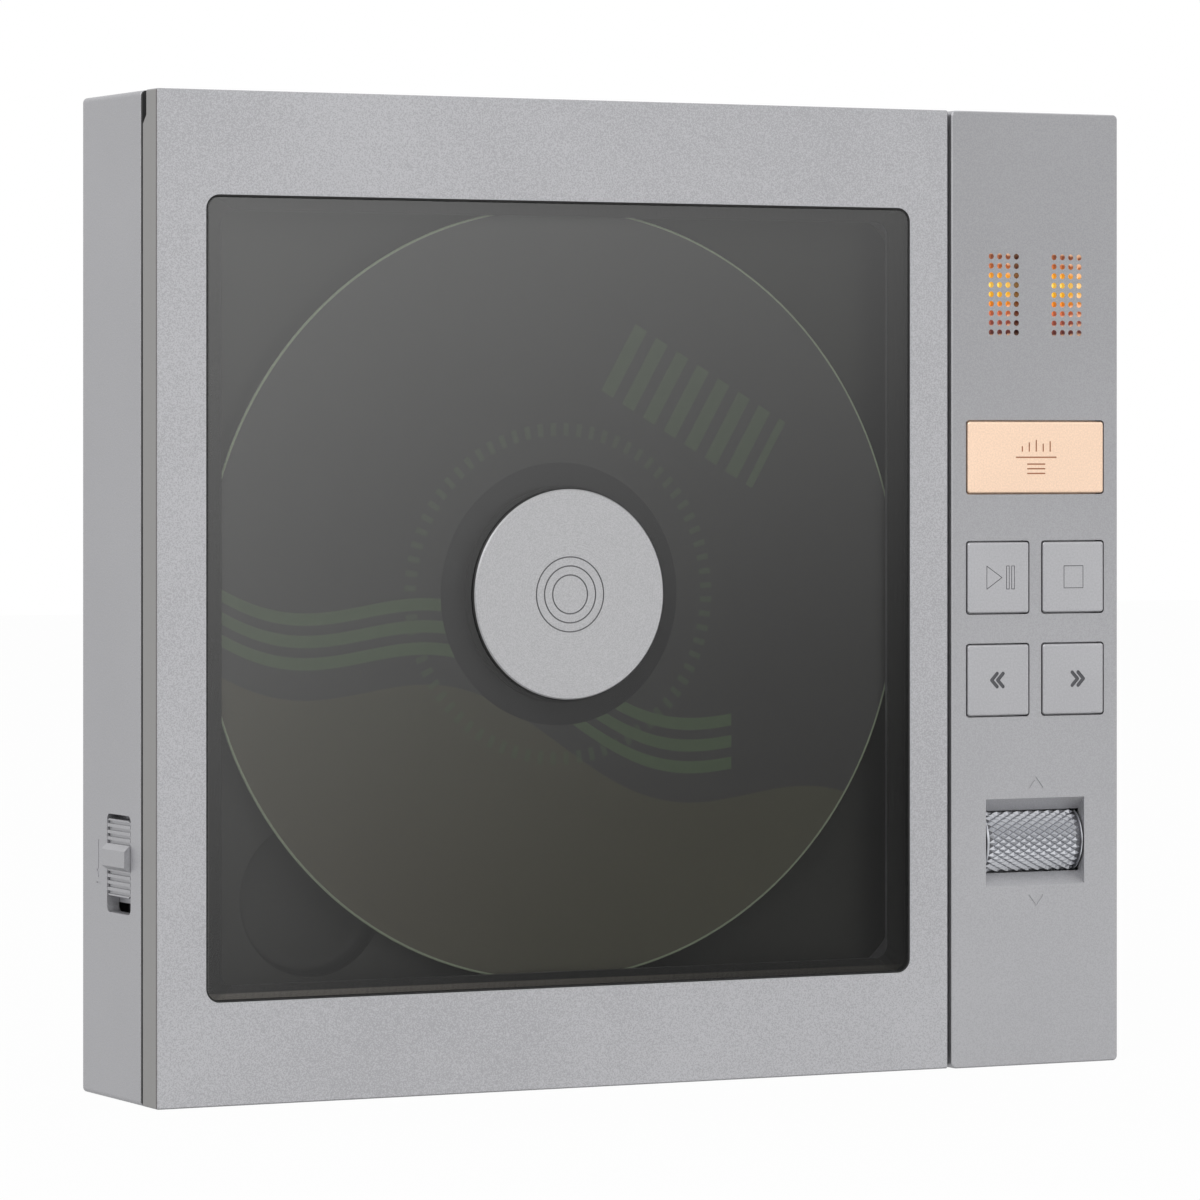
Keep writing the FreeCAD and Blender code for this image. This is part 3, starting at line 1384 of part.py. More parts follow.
pieces = [
    main_housing, rear_cover, rear_cover_screws, rubber_feet, inner_screws, disc_tray, mechanism_deck,
    deck_dampers, spindle_motor, guide_rods, rod_clamps, sled_motor, main_circuit_board,
    board_components, battery_pack, tube_board, tube_envelopes, tube_electrodes, tube_leads,
    tube_sleeves, tube_lamps, key_board, key_switches, wheel_bracket, wheel_encoder, headphone_jack,
    balanced_jack, usb_port, latch_guide, latch_spring, hinge_pins, lid_buffers, lid_seal, lid_sensor,
    lid_frame, window_glass, window_gasket, centre_cap, clamp_retainer, lid_catch, hinge_arms,
    lid_magnet, clamp_rotor, clamp_magnet, turntable, disc_pad, spindle_shaft, disc, pickup_sled,
    objective_lens, sled_gear, motor_pinion, volume_wheel, wheel_axle, open_slider,
]
shapes = {piece.__name__: piece() for piece in pieces}
for name in button_places():
    shapes[name] = button(name)

os.makedirs("parts", exist_ok=True)
for name, shape in shapes.items():
    if isinstance(shape, list):
        shape = Part.makeCompound(shape)
    shape.translate(point(-width / 2, -depth / 2, 0))
    if not shape.isValid() or not shape.Solids:
        print("not a sound solid:", name)
    shape.exportStep("parts/" + name + ".step")
print("pieces written:", len(shapes))
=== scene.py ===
import math

import bpy
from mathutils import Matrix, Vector


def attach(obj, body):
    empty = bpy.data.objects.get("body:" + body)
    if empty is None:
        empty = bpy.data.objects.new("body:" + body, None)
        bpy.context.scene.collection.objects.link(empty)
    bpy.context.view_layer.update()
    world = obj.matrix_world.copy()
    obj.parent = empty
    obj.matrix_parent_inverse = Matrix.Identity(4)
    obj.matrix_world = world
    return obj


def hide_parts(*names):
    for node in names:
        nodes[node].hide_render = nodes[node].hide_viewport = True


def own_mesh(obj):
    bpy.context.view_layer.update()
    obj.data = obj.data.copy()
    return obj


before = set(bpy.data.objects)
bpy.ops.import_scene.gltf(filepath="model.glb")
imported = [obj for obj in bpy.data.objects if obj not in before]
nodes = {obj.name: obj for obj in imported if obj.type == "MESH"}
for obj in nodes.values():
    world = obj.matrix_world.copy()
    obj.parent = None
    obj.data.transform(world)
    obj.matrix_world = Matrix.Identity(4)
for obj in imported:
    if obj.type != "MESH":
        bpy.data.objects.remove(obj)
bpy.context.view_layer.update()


# The picture. The player stands upright on a pale table and is seen from the front, a little from
# its left, through a long lens set level with the upper half of the window.

camera_place = (-0.4317, -0.8586, 0.09946)
camera_turn = (math.pi / 2, 0.0, -0.46373)

camera = bpy.data.cameras.new("camera")
camera.lens = 182.3
camera.sensor_width = 36.0
camera.shift_y = -0.1278
viewer = bpy.data.objects.new("viewer", camera)
viewer.location = camera_place
viewer.rotation_euler = camera_turn
bpy.context.scene.collection.objects.link(viewer)
bpy.context.scene.camera = viewer
bpy.context.scene.view_settings.view_transform = "Standard"


# The studio. Light comes from all round, as in a white tent, with two large soft lamps in front. A dark
# card stands low at the front right: only the glossy glass shows it, as shade over the lower window.

class Value:
    """One output of a node, so that sums on it are written as in Python."""

    def __init__(self, graph, socket):
        self.graph = graph
        self.socket = socket

    def maths(self, operation, first, second=0.0):
        return self.graph.add("ShaderNodeMath", {"operation": operation}, {0: first, 1: second})

    def __add__(self, other):
        return self.maths("ADD", self, other)

    def __radd__(self, other):
        return self.maths("ADD", other, self)

    def __sub__(self, other):
        return self.maths("SUBTRACT", self, other)

    def __rsub__(self, other):
        return self.maths("SUBTRACT", other, self)

    def __mul__(self, other):
        return self.maths("MULTIPLY", self, other)

    def __rmul__(self, other):
        return self.maths("MULTIPLY", other, self)

    def __truediv__(self, other):
        return self.maths("DIVIDE", self, other)

    def __mod__(self, other):
        return self.maths("FLOORED_MODULO", self, other)

    def __pow__(self, other):
        return self.maths("POWER", self, other)

    def __abs__(self):
        return self.maths("ABSOLUTE", self)


class Graph:
    """The nodes of one material, of the studio's air or of one shape."""

    def __init__(self, tree):
        self.tree = tree
        tree.nodes.clear()

    def add(self, kind, settings=None, sockets=None, output=0):
        node = self.tree.nodes.new(kind)
        for name, setting in (settings or {}).items():
            if name == "stops":
                node.color_ramp.elements.remove(node.color_ramp.elements[0])
                node.color_ramp.elements[0].position = setting[0][0]
                node.color_ramp.elements[0].color = setting[0][1]
                for place, colour in setting[1:]:
                    node.color_ramp.elements.new(place).color = colour
            else:
                setattr(node, name, setting)
        for key, value in (sockets or {}).items():
            if isinstance(value, Value):
                self.tree.links.new(value.socket, node.inputs[key])
            else:
                node.inputs[key].default_value = value
        return Value(self, node.outputs[output]) if len(node.outputs) else None

    def smooth(self, value, low, high):
        """0 below low, 1 above high and soft between them; the other way round where low is higher."""
        turned = low > high
        if turned:
            low, high = high, low
        ends = {"From Min": low, "From Max": high, "To Min": float(turned), "To Max": float(not turned)}
        return self.add("ShaderNodeMapRange", {"interpolation_type": "SMOOTHSTEP"}, {"Value": value, **ends})

    def above(self, value, edge, blur=0.00005):
        """1 where a value is above an edge and 0 where it is below, soft over a narrow blur."""
        return self.smooth(value, edge - blur, edge + blur)

    def below(self, value, edge, blur=0.00005):
        return self.smooth(value, edge + blur, edge - blur)

    def part(self, vector, axis):
        """One part of a vector: 0 is x, 1 is y and 2 is z."""
        return self.add("ShaderNodeSeparateXYZ", sockets={0: vector}, output=axis)

    def mix(self, share, first, second):
        """A colour between two colours."""
        return self.add("ShaderNodeMix", {"data_type": "RGBA"}, {0: share, 6: first, 7: second}, 2)


def paint(red, green, blue):
    """A colour read off a screen, 0 to 255, as the light that it stands for."""
    light = []
    for part in (red, green, blue):
        share = part / 255
        light.append(share / 12.92 if share <= 0.04045 else ((share + 0.055) / 1.055) ** 2.4)
    return (*light, 1.0)


card_turn = math.radians(32.2)
card_drop = math.radians(10.3)
card_way = Vector((math.sin(card_turn), -math.cos(card_turn), -math.sin(card_drop))).normalized()
card_inner = math.radians(7.0)
card_outer = math.radians(18.5)
ring_inner = math.radians(22.0)
ring_outer = math.radians(36.0)
card_shade = 0.1
mirror_light = 1.75
tent_light = 0.86
tent_rise = 0.4
air_light = 0.66

world = bpy.data.worlds.new("studio_air")
world.use_nodes = True
bpy.context.scene.world = world
air = Graph(world.node_tree)
way = air.add("ShaderNodeTexCoord")
towards_card = air.add("ShaderNodeVectorMath", {"operation": "DOT_PRODUCT"},
                       {0: way, 1: card_way}, "Value")
from_card = towards_card.maths("ARCCOSINE", towards_card)
mirrored = card_shade + air.smooth(from_card, card_inner, card_outer) * (mirror_light - card_shade)
far_from_card = air.smooth(from_card, ring_inner, ring_outer)
tent = tent_light + air.part(way, 2) * tent_rise
mirrored = mirrored + far_from_card * (tent - mirror_light)
seen = air.add("ShaderNodeLightPath", output="Is Camera Ray")
through = air.add("ShaderNodeLightPath", output="Is Transmission Ray")
glossy = air.add("ShaderNodeLightPath", output="Is Glossy Ray")
level = air_light + (seen + through) * (1.0 - air_light) + glossy * (mirrored - air_light)
backdrop = air.add("ShaderNodeBackground", sockets={"Color": (1, 1, 1, 1), "Strength": level})
air.add("ShaderNodeOutputWorld", sockets={"Surface": backdrop})


player_middle = Vector((0, 0, 0.077))


def soft_lamp(name, place, size, power):
    """A square lamp that faces the middle of the player."""
    lamp = bpy.data.lights.new(name, "AREA")
    lamp.size = size
    lamp.energy = power
    holder = bpy.data.objects.new(name, lamp)
    holder.location = place
    holder.rotation_euler = (player_middle - Vector(place)).to_track_quat("-Z", "Y").to_euler()
    bpy.context.scene.collection.objects.link(holder)


soft_lamp("left_lamp", (-0.75, -0.90, 0.75), 0.6, 5.5)
soft_lamp("right_lamp", (1.2, -1.5, 1.0), 1.0, 0.9)

floor_half = 2.5
floor_whiteness = 0.96
floor_mesh = bpy.data.meshes.new("floor")
floor_mesh.from_pydata([(-floor_half, -floor_half, 0), (floor_half, -floor_half, 0),
                        (floor_half, floor_half, 0), (-floor_half, floor_half, 0)], [], [(0, 1, 2, 3)])
floor = bpy.data.objects.new("floor", floor_mesh)
bpy.context.scene.collection.objects.link(floor)

floor_paint = bpy.data.materials.new("pale_table")
floor_paint.use_nodes = True
table = Graph(floor_paint.node_tree)
matt = table.add("ShaderNodeBsdfDiffuse", sockets={"Color": (0.90, 0.90, 0.90, 1)})
white = table.add("ShaderNodeEmission", sockets={"Color": (1, 1, 1, 1), "Strength": 1.0})
clear = table.add("ShaderNodeBsdfTransparent")
seen = table.add("ShaderNodeLightPath", output="Is Camera Ray")
through = table.add("ShaderNodeLightPath", output="Is Transmission Ray")
glossy = table.add("ShaderNodeLightPath", output="Is Glossy Ray")
shown = table.add("ShaderNodeMixShader", sockets={0: (seen + through) * floor_whiteness, 1: matt, 2: white})
shown = table.add("ShaderNodeMixShader", sockets={0: glossy, 1: shown, 2: clear})
table.add("ShaderNodeOutputMaterial", sockets={"Surface": shown})
floor_mesh.materials.append(floor_paint)


# The case: the housing with its control strip, the lid's frame and the rear cover. All are milled from
# aluminium, blasted with fine glass beads and anodised clear. The cover is screwed in from behind.

def finish(name):
    """The empty graph of a new material, with its material on it."""
    material = bpy.data.materials.new(name)
    material.use_nodes = True
    graph = Graph(material.node_tree)
    graph.material = material
    return graph


def surface(graph, sockets):
    """The shader of a finish, and the material that it makes."""
    shader = graph.add("ShaderNodeBsdfPrincipled", sockets=sockets)
    graph.add("ShaderNodeOutputMaterial", sockets={"Surface": shader})
    return graph.material


def place_in(graph):
    """Where a point lies on the player, in metres."""
    return graph.add("ShaderNodeTexCoord", output="Object")


def tinted(colour, factor, lift=0.0):
    """A colour made darker or lighter."""
    return tuple(min(1.0, part * factor + lift) for part in colour[:3]) + (1.0,)


def noise(graph, place, scale, detail=2.0, stretch=(1, 1, 1)):
    """Grain of a given fineness, from 0 to 1, drawn out along an axis where stretch is below 1."""
    drawn = graph.add("ShaderNodeMapping", sockets={"Vector": place, "Scale": stretch})
    return graph.add("ShaderNodeTexNoise", sockets={"Vector": drawn, "Scale": scale, "Detail": detail})


def bumped(graph, height, strength, depth):
    return graph.add("ShaderNodeBump", sockets={"Height": height, "Strength": strength, "Distance": depth})


def between(graph, share, first, second):
    """A number between two numbers."""
    return first + share * (second - first)


def dress(material, *names):
    """Gives CAD nodes their finish."""
    for name in names:
        for slot in nodes[name].material_slots:
            slot.material = material


def blasted_metal(name, colour, contrast=0.1, bead=6500.0, depth=0.00001, roughness=0.5, extra=None):
    """Aluminium with a fine beaded grain, faint clouds in its anodising and a few glints."""
    graph = finish(name)
    place = place_in(graph)
    bead_grain = noise(graph, place, bead, 1.0)
    coarse_grain = noise(graph, place, bead * 0.65, 1.0)
    clouds = noise(graph, place, 28.0, 3.0)
    speckle = graph.smooth(bead_grain * 0.45 + coarse_grain * 0.4 + clouds * 0.15, 0.42, 0.58)
    sockets = {
        "Base Color": graph.mix(speckle, tinted(colour, 1.0 - contrast), tinted(colour, 1.0 + contrast)),
        "Metallic": 0.8,
        "Roughness": between(graph, coarse_grain, roughness - 0.08, roughness + 0.08),
        "Normal": bumped(graph, bead_grain + coarse_grain * 0.6, 0.35, depth),
    }
    if extra:
        extra(graph, sockets, *(graph.part(place, axis) for axis in range(3)))
    return surface(graph, sockets)


strip_left = 0.05175
strip_middle = 0.06855
strip_front = -0.014945
strip_front_blur = 0.000015
strip_low = 0.02
strip_high = 0.15
pocket_height = 0.0359
arrow_half = 0.00165
arrow_near = 0.00805
arrow_far = 0.01115
grille_xs = (0.0627, 0.0744)
grille_z = 0.1239
grille_half_width = 0.00335
grille_half_height = 0.00755
hole_front = -0.01493
hole_front_blur = 0.000025
hole_back = -0.012275
unlit_row = 0.06445
glow_height = 0.1254
glow_span = 0.016
lamp_depth = -0.0100
lamp_reach = 0.007
bevel_left = -0.08395
bevel_left_blur = 0.00002
bevel_back = -0.01461
bevel_back_blur = 0.00003


def glow(graph, z):
    """The tubes' light by height: palest a little above the grille's middle, dying to a dull red."""
    return graph.add("ShaderNodeValToRGB", {"stops": [
        (0.10, (0.020, 0.004, 0.004, 1)), (0.185, (0.10, 0.03, 0.03, 1)), (0.28, (0.28, 0.07, 0.05, 1)),
        (0.375, (0.50, 0.12, 0.06, 1)), (0.47, (0.80, 0.22, 0.02, 1)), (0.566, (1.00, 0.48, 0.03, 1)),
        (0.66, (1.00, 0.62, 0.10, 1)), (0.755, (1.00, 0.38, 0.03, 1)), (0.85, (0.45, 0.12, 0.04, 1)),
        (0.946, (0.25, 0.08, 0.04, 1))]}, {0: (z - glow_height) / glow_span + 0.66})


def strip_shade_and_hole_glow(graph, sockets, x, y, z):
    """The strip's face is a shade darker, with painted shade towards its top. The holes' walls get a painted
    glow.
    """
    flat = graph.above(x, strip_left) * graph.below(y, strip_front, strip_front_blur)
    # The face is darker in tone, and painted shade grows towards the top of the strip.
    tone_and_shade = between(graph, graph.smooth(z, strip_low, strip_high), 0.11, 0.25)
    away = abs(z - pocket_height)
    # Painted shade in the engraved arrows above and below the wheel's pocket.
    shaded_arrows = (graph.below(abs(x - strip_middle), arrow_half) * graph.above(away, arrow_near)
              * graph.below(away, arrow_far) * (1.0 - flat))
    shaded_face = graph.mix(flat * tone_and_shade + shaded_arrows * 0.12, sockets["Base Color"], (0, 0, 0, 1))
    # The holes' walls are dark and warm, with a painted glow brightest where they face the lamp behind each
    # grille, fading with distance from it.
    field = sum(graph.below(abs(x - grille_x), grille_half_width) for grille_x in grille_xs)
    inside = (field * graph.below(abs(z - grille_z), grille_half_height)
              * graph.above(y, hole_front, hole_front_blur) * graph.below(y, hole_back))
    second = graph.above(x, strip_middle)
    to_lamp = (between(graph, second, *grille_xs) - x, lamp_depth - y, glow_height - z)
    normal = graph.add("ShaderNodeTexCoord", output="Normal")
    far = (to_lamp[0] * to_lamp[0] + to_lamp[1] * to_lamp[1] + to_lamp[2] * to_lamp[2]) ** 0.5
    facing = sum(way * graph.part(normal, axis) for axis, way in enumerate(to_lamp)) / far
    warmth = graph.smooth(facing, 0.10, 0.85) / (1.0 + (far / lamp_reach) ** 2.0)
    dark_row = graph.above(x, unlit_row) * (1.0 - second)
    wall_glow = graph.mix(warmth, graph.mix(0.5, (0, 0, 0, 1), glow(graph, z)), (1.0, 0.66, 0.42, 1))
    sockets["Base Color"] = graph.mix(inside, shaded_face, (0.10, 0.06, 0.06, 1))
    sockets["Emission Color"] = graph.mix(inside * between(graph, dark_row, 1.0, 0.12), (0, 0, 0, 1), wall_glow)
    sockets["Emission Strength"] = 1.4


def darker_lid_side(graph, sockets, x, y, z):
    """The lid's narrow left side is painted darker than the rest, darkest in the fine bevel at its front."""
    side = graph.below(x, bevel_left, bevel_left_blur)
    bevel = graph.below(y, bevel_back, bevel_back_blur)
    darker_mark = graph.mix(bevel, paint(157, 156, 155), paint(95, 90, 90))
    sockets["Base Color"] = graph.mix(side, sockets["Base Color"], darker_mark)


dress(blasted_metal("case_metal", paint(178, 178, 181)), "rear_cover")
dress(blasted_metal("housing_metal", paint(180, 180, 183), 0.07, extra=strip_shade_and_hole_glow), "main_housing")
dress(blasted_metal("lid_metal", paint(174, 174, 177), 0.13, extra=darker_lid_side), "lid_frame")


# The window: one sheet of smoked glass with polished edges, glued over a black gasket in the lid's recess.
# It is dark enough to hide most of the tray, and the disc's print shows faintly through it.

glass_front = -0.0140
glass_front_blur = 0.0001
window_left = -0.0760
window_right = 0.0450
lit_strip_top = 0.016925
lit_strip_blur = 0.000125
gasket_seat = -0.013505
gasket_seat_blur = 0.000025


def smoked_glass():
    graph = finish("smoked_glass")
    place = place_in(graph)
    front = graph.below(graph.part(place, 1), glass_front, glass_front_blur)
    haze = noise(graph, place, 60.0, 2.0)
    return surface(graph, {
        "Base Color": graph.mix(haze, (0.010, 0.010, 0.010, 1), (0.014, 0.014, 0.013, 1)),
        "Roughness": between(graph, haze, 0.02, 0.04),
        "IOR": 2.2,
        "Alpha": between(graph, front, 0.04, 0.60),
    })


def soft_rubber(name, colour, sheen):
    """Moulded rubber: matt, with a fine pebble and a dusty bloom."""
    graph = finish(name)
    place = place_in(graph)
    pebble = noise(graph, place, 2600.0, 3.0)
    bloom = noise(graph, place, 240.0, 2.0)
    return surface(graph, {
        "Base Color": graph.mix(graph.smooth(bloom, 0.42, 0.75), colour, tinted(colour, 1.6, 0.01)),
        "Roughness": between(graph, pebble, 0.62, 0.85),
        "Sheen Weight": sheen,
        "Normal": bumped(graph, pebble, 0.3, 0.00004),
    })


def gasket_rubber():
    """The gasket's black rubber, with a painted strip of light along the window's lower edge."""
    graph = finish("gasket_rubber")
    place = place_in(graph)
    pebble = noise(graph, place, 2600.0, 3.0)
    seat = graph.above(graph.part(place, 1), gasket_seat, gasket_seat_blur)
    share = between(graph, graph.smooth(graph.part(place, 0), window_right, window_left), 0.25, 1.0)
    # Painted light: a pale strip along the window's lower edge, brightest at the left and fainter to the
    # right.
    lit_strip = seat * share * graph.below(graph.part(place, 2), lit_strip_top, lit_strip_blur)
    black = graph.mix(seat, (0.010, 0.010, 0.010, 1), (0.040, 0.040, 0.038, 1))
    return surface(graph, {
        "Base Color": graph.mix(lit_strip, black, (0.50, 0.46, 0.40, 1)),
        "Roughness": between(graph, pebble, 0.62, 0.85),
        "Normal": bumped(graph, pebble, 0.3, 0.00004),
    })


black_rubber = soft_rubber("black_rubber", (0.014, 0.014, 0.014, 1), 0.1)
dress(smoked_glass(), "window_glass")
dress(gasket_rubber(), "window_gasket")
dress(black_rubber, "rubber_feet", "deck_dampers", "lid_buffers", "lid_seal", "disc_pad")


# The centre cap: an aluminium puck, turned on a lathe, with three fine rings cut in its face. It is glued
# through the glass and holds the clamp behind it by a ring of black plastic.
# Painted shade darkens the floors of its rings and blackens its skirt.

cap_middle = Vector((-0.0153, 0.0, 0.0766))
ring_reach = 0.00695
ring_floor = -0.0155925
ring_floor_blur = 0.0000175
shaded_skirt_front = -0.015425
shaded_skirt_blur = 0.000025


def from_cap(graph, place):
    """How far a point lies across and above the cap's middle line."""
    centred = graph.add("ShaderNodeMapping", sockets={"Vector": place, "Location": -cap_middle})
    return graph.part(centred, 0), graph.part(centred, 2)


def turned_metal(name, colour, roughness):
    """Aluminium faced on a lathe: hair-fine rings about the disc's middle under a light bead blast."""
    graph = finish(name)
    place = place_in(graph)
    across, up = from_cap(graph, place)
    reach = (across * across + up * up) ** 0.5
    back = graph.part(place, 1)
    rings = graph.add("ShaderNodeTexNoise", {"noise_dimensions": "1D"}, {"W": reach, "Scale": 9000.0,
                                                                      "Detail": 2.0})
    grain = noise(graph, place, 6500.0, 1.0)
    worn = graph.smooth(grain * 0.6 + rings * 0.4, 0.40, 0.60)
    metal = graph.mix(worn, tinted(colour, 0.90), tinted(colour, 1.10))
    # Painted shade on the floors of the three cut rings.
    shaded_groove = graph.below(reach, ring_reach) * graph.above(back, ring_floor, ring_floor_blur)
    metal = graph.mix(shaded_groove, metal, (0.14, 0.14, 0.145, 1))
    # Painted shade: the skirt under the cap's bevel is near black and less metallic.
    shaded_skirt = graph.above(back, shaded_skirt_front, shaded_skirt_blur)
    metal = graph.mix(shaded_skirt, metal, (0.012, 0.012, 0.012, 1))
    return surface(graph, {
        "Base Color": metal,
        "Metallic": between(graph, shaded_skirt, 0.8, 0.2),
        "Roughness": between(graph, rings, roughness - 0.05, roughness + 0.07),
        "Normal": bumped(graph, rings * 0.3 + grain, 0.25, 0.00001),
    })


dress(turned_metal("cap_metal", paint(175, 175, 177), 0.42), "centre_cap")


# The disc: pressed from clear plastic, with a silvered back and a silk-screened face. The print is a plain
# one in charcoal, olive and pale green: a low wave, bars that follow it and a scale of ticks by the hub.

disc_face = -0.01185
disc_face_blur = 0.000025
rim_highlight_reach = 0.05963
rim_highlight_blur = 0.00003
hub_reach = 0.0204
print_blur = 0.0001
wave_tilt = 0.26
wave_height = 0.0045
wave_turns = 95.0
wave_foot = -0.02335
wave_foot_blur = 0.00015
bars_low = -0.01955
bars_high = -0.00935
bar_start = -0.0195
bar_pitch = 0.0034
bars_end = 0.0301
block_across, block_along = 0.0370, -0.0050
block_half_width, block_half_length = 0.0060, 0.0161
block_lean = (0.50, 0.866)
row_pitch = 0.0042
tick_count = 72.0
ticks_inner = 0.02455
ticks_outer = 0.02655


def disc_print():
    graph = finish("disc_label")
    place = place_in(graph)
    across, up = from_cap(graph, place)
    reach = (across * across + up * up) ** 0.5
    turn = across.maths("ARCTAN2", up, across) / (2 * math.pi)
    ink = noise(graph, place, 900.0, 2.0)
    sweep = noise(graph, place, 9.0, 1.0)
    charcoal = graph.mix(ink, (0.155, 0.155, 0.152, 1), (0.185, 0.184, 0.178, 1))
    brown = graph.mix(sweep, (0.28, 0.23, 0.18, 1), (0.20, 0.24, 0.16, 1))
    green = graph.mix(ink, (0.23, 0.32, 0.19, 1), (0.27, 0.37, 0.22, 1))
    wave = up + wave_tilt * across + wave_height * across.maths("SINE", across * wave_turns)
    colour = graph.mix(graph.below(wave, wave_foot, wave_foot_blur), charcoal, brown)
    bars = graph.smooth(abs(((wave - bar_start) / bar_pitch) % 1.0 - 0.5), 0.30, 0.26)
    bar_room = (graph.above(wave, bars_low) * graph.below(wave, bars_high)
                * graph.below(across, bars_end, print_blur))
    colour = graph.mix(bars * bar_room, colour, green)
    sideways = across * block_lean[0] + up * block_lean[1]
    lengthways = up * block_lean[0] - across * block_lean[1]
    block = (graph.below(abs(sideways - block_across), block_half_width, print_blur)
             * graph.below(abs(lengthways - block_along), block_half_length, print_blur))
    rows = graph.smooth(abs((lengthways / row_pitch) % 1.0 - 0.5), 0.20, 0.24)
    colour = graph.mix(block * rows * 0.75, colour, green)
    ticks = graph.smooth(abs((turn * tick_count) % 1.0 - 0.5), 0.22, 0.18)
    tick_room = graph.above(reach, ticks_inner) * graph.below(reach, ticks_outer)
    colour = graph.mix(ticks * tick_room * 0.5, colour, green)
    # Painted highlight: a thin pale line along the disc's outer edge.
    colour = graph.mix(graph.above(reach, rim_highlight_reach, rim_highlight_blur), colour, (0.74, 0.88, 0.60, 1))
    colour = graph.mix(graph.below(reach, hub_reach, print_blur), colour, (0.085, 0.085, 0.087, 1))
    front = graph.below(graph.part(place, 1), disc_face, disc_face_blur)
    colour = graph.mix(front, (0.55, 0.56, 0.58, 1), colour)
    return surface(graph, {
        "Base Color": colour,
        "Metallic": between(graph, front, 0.9, 0.15),
        "Roughness": between(graph, front, 0.12, 0.34) + ink * 0.05,
        "Coat Weight": 0.3,
        "Coat Roughness": 0.08,
    })


dress(disc_print(), "disc")


# The tray under the disc: one charcoal moulding with a spark-eroded texture and a finger scoop at its
# lower left. It is screwed to the housing from behind and carries the drive on four dampers.

def moulded_plastic(name, colour, texture=2400.0, roughness=0.55, depth=0.00003):
    """Moulded plastic with an eroded skin, and faint flow marks from the mould."""
    graph = finish(name)
    place = place_in(graph)
    skin = noise(graph, place, texture, 2.0)
    flow = noise(graph, place, 35.0, 3.0, (1, 1, 0.4))
    marks = graph.smooth(flow * 0.5 + skin * 0.5, 0.3, 0.7)
    return surface(graph, {
        "Base Color": graph.mix(marks, tinted(colour, 0.85), tinted(colour, 1.25, 0.002)),
        "Roughness": between(graph, skin, roughness - 0.08, roughness + 0.1),
        "Normal": bumped(graph, skin, 0.35, depth),
    })


black_plastic = moulded_plastic("black_plastic", (0.022, 0.022, 0.024, 1))


tray_flat = -0.0083
tray_flat_blur = 0.000075
scoop_floor = -0.005375
scoop_floor_blur = 0.0004
tray_shade_edge = 0.04
tray_shade_blur = 0.0025


def tray_plastic():
    """The tray's moulding, lighter on its flat and the scoop's floor, with painted shade on the scoop's wall
    and right side.
    """
    graph = finish("tray_plastic")
    place = place_in(graph)
    skin = noise(graph, place, 1900.0, 2.0)
    flow = noise(graph, place, 22.0, 3.0)
    flat = graph.mix(flow, (0.062, 0.062, 0.056, 1), (0.092, 0.094, 0.082, 1))
    back = graph.part(place, 1)
    # Painted shade on the scoop's sloping wall, between the flat and the scoop's floor.
    shaded_wall = (graph.above(back, tray_flat, tray_flat_blur)
            * graph.below(back, scoop_floor, scoop_floor_blur))
    shaded = graph.mix(shaded_wall, flat, (0.016, 0.016, 0.015, 1))
    # Painted shade along the tray's right side.
    edge = graph.above(graph.part(place, 0), tray_shade_edge, tray_shade_blur)
    return surface(graph, {
        "Base Color": graph.mix(edge, shaded, (0.046, 0.046, 0.044, 1)),
        "Roughness": between(graph, skin, 0.42, 0.6),
        "Normal": bumped(graph, skin, 0.35, 0.00003),
    })


dress(tray_plastic(), "disc_tray")
dress(black_plastic, "rod_clamps", "clamp_retainer", "turntable", "pickup_sled")
dress(moulded_plastic("white_plastic", (0.74, 0.74, 0.70, 1), 3200.0, 0.4, 0.00001), "clamp_rotor",
      "sled_gear", "motor_pinion")


# The drive behind the tray: a pressed steel deck with the spindle motor, two ground rods, the pickup on
# them and its gear train. The lens is a moulded one with a violet coating.

def steel(name, colour, roughness, draw=(1, 1, 1), mark=900.0, depth=0.00001):
    """Bare or plated steel with the marks of rolling, drawing or grinding."""
    graph = finish(name)
    place = place_in(graph)
    lines = noise(graph, place, mark, 3.0, draw)
    blooms = noise(graph, place, 130.0, 2.0)
    warm = tuple(part * warmth for part, warmth in zip(colour, (1.06, 1.02, 0.92, 1.0)))
    return surface(graph, {
        "Base Color": graph.mix(graph.smooth(blooms, 0.35, 0.7), colour, warm),
        "Metallic": 1.0,
        "Roughness": between(graph, lines, roughness - 0.08, roughness + 0.12),
        "Normal": bumped(graph, lines, 0.2, depth),
    })


plated_steel = steel("plated_steel", (0.60, 0.60, 0.58, 1), 0.34)
ground_steel = steel("ground_steel", (0.70, 0.70, 0.71, 1), 0.16, (1, 1, 0.05), 4000.0)
screw_steel = steel("screw_steel", (0.45, 0.45, 0.46, 1), 0.30, (1, 1, 1), 2600.0, 0.00002)
dress(plated_steel, "mechanism_deck", "spindle_motor", "sled_motor", "wheel_bracket", "usb_port", "lid_catch")
dress(ground_steel, "guide_rods", "hinge_pins", "spindle_shaft", "wheel_axle")
dress(screw_steel, "rear_cover_screws", "inner_screws")
dress(steel("magnet_metal", (0.50, 0.50, 0.50, 1), 0.22, (1, 0.2, 1), 1500.0), "lid_magnet", "clamp_magnet")


lens_face = -0.008125


def coated_lens():
    graph = finish("lens_plastic")
    place = place_in(graph)
    eye = graph.below(graph.part(place, 1), lens_face)
    haze = noise(graph, place, 700.0, 2.0)
    violet = graph.mix(haze, (0.05, 0.04, 0.16, 1), (0.08, 0.05, 0.22, 1))
    return surface(graph, {
        "Base Color": graph.mix(eye, (0.02, 0.02, 0.022, 1), violet),
        "Roughness": between(graph, eye, 0.5, 0.03),
        "Coat Weight": eye,
    })


dress(coated_lens(), "objective_lens")
dress(blasted_metal("hinge_metal", (0.30, 0.31, 0.32, 1), roughness=0.4), "hinge_arms")


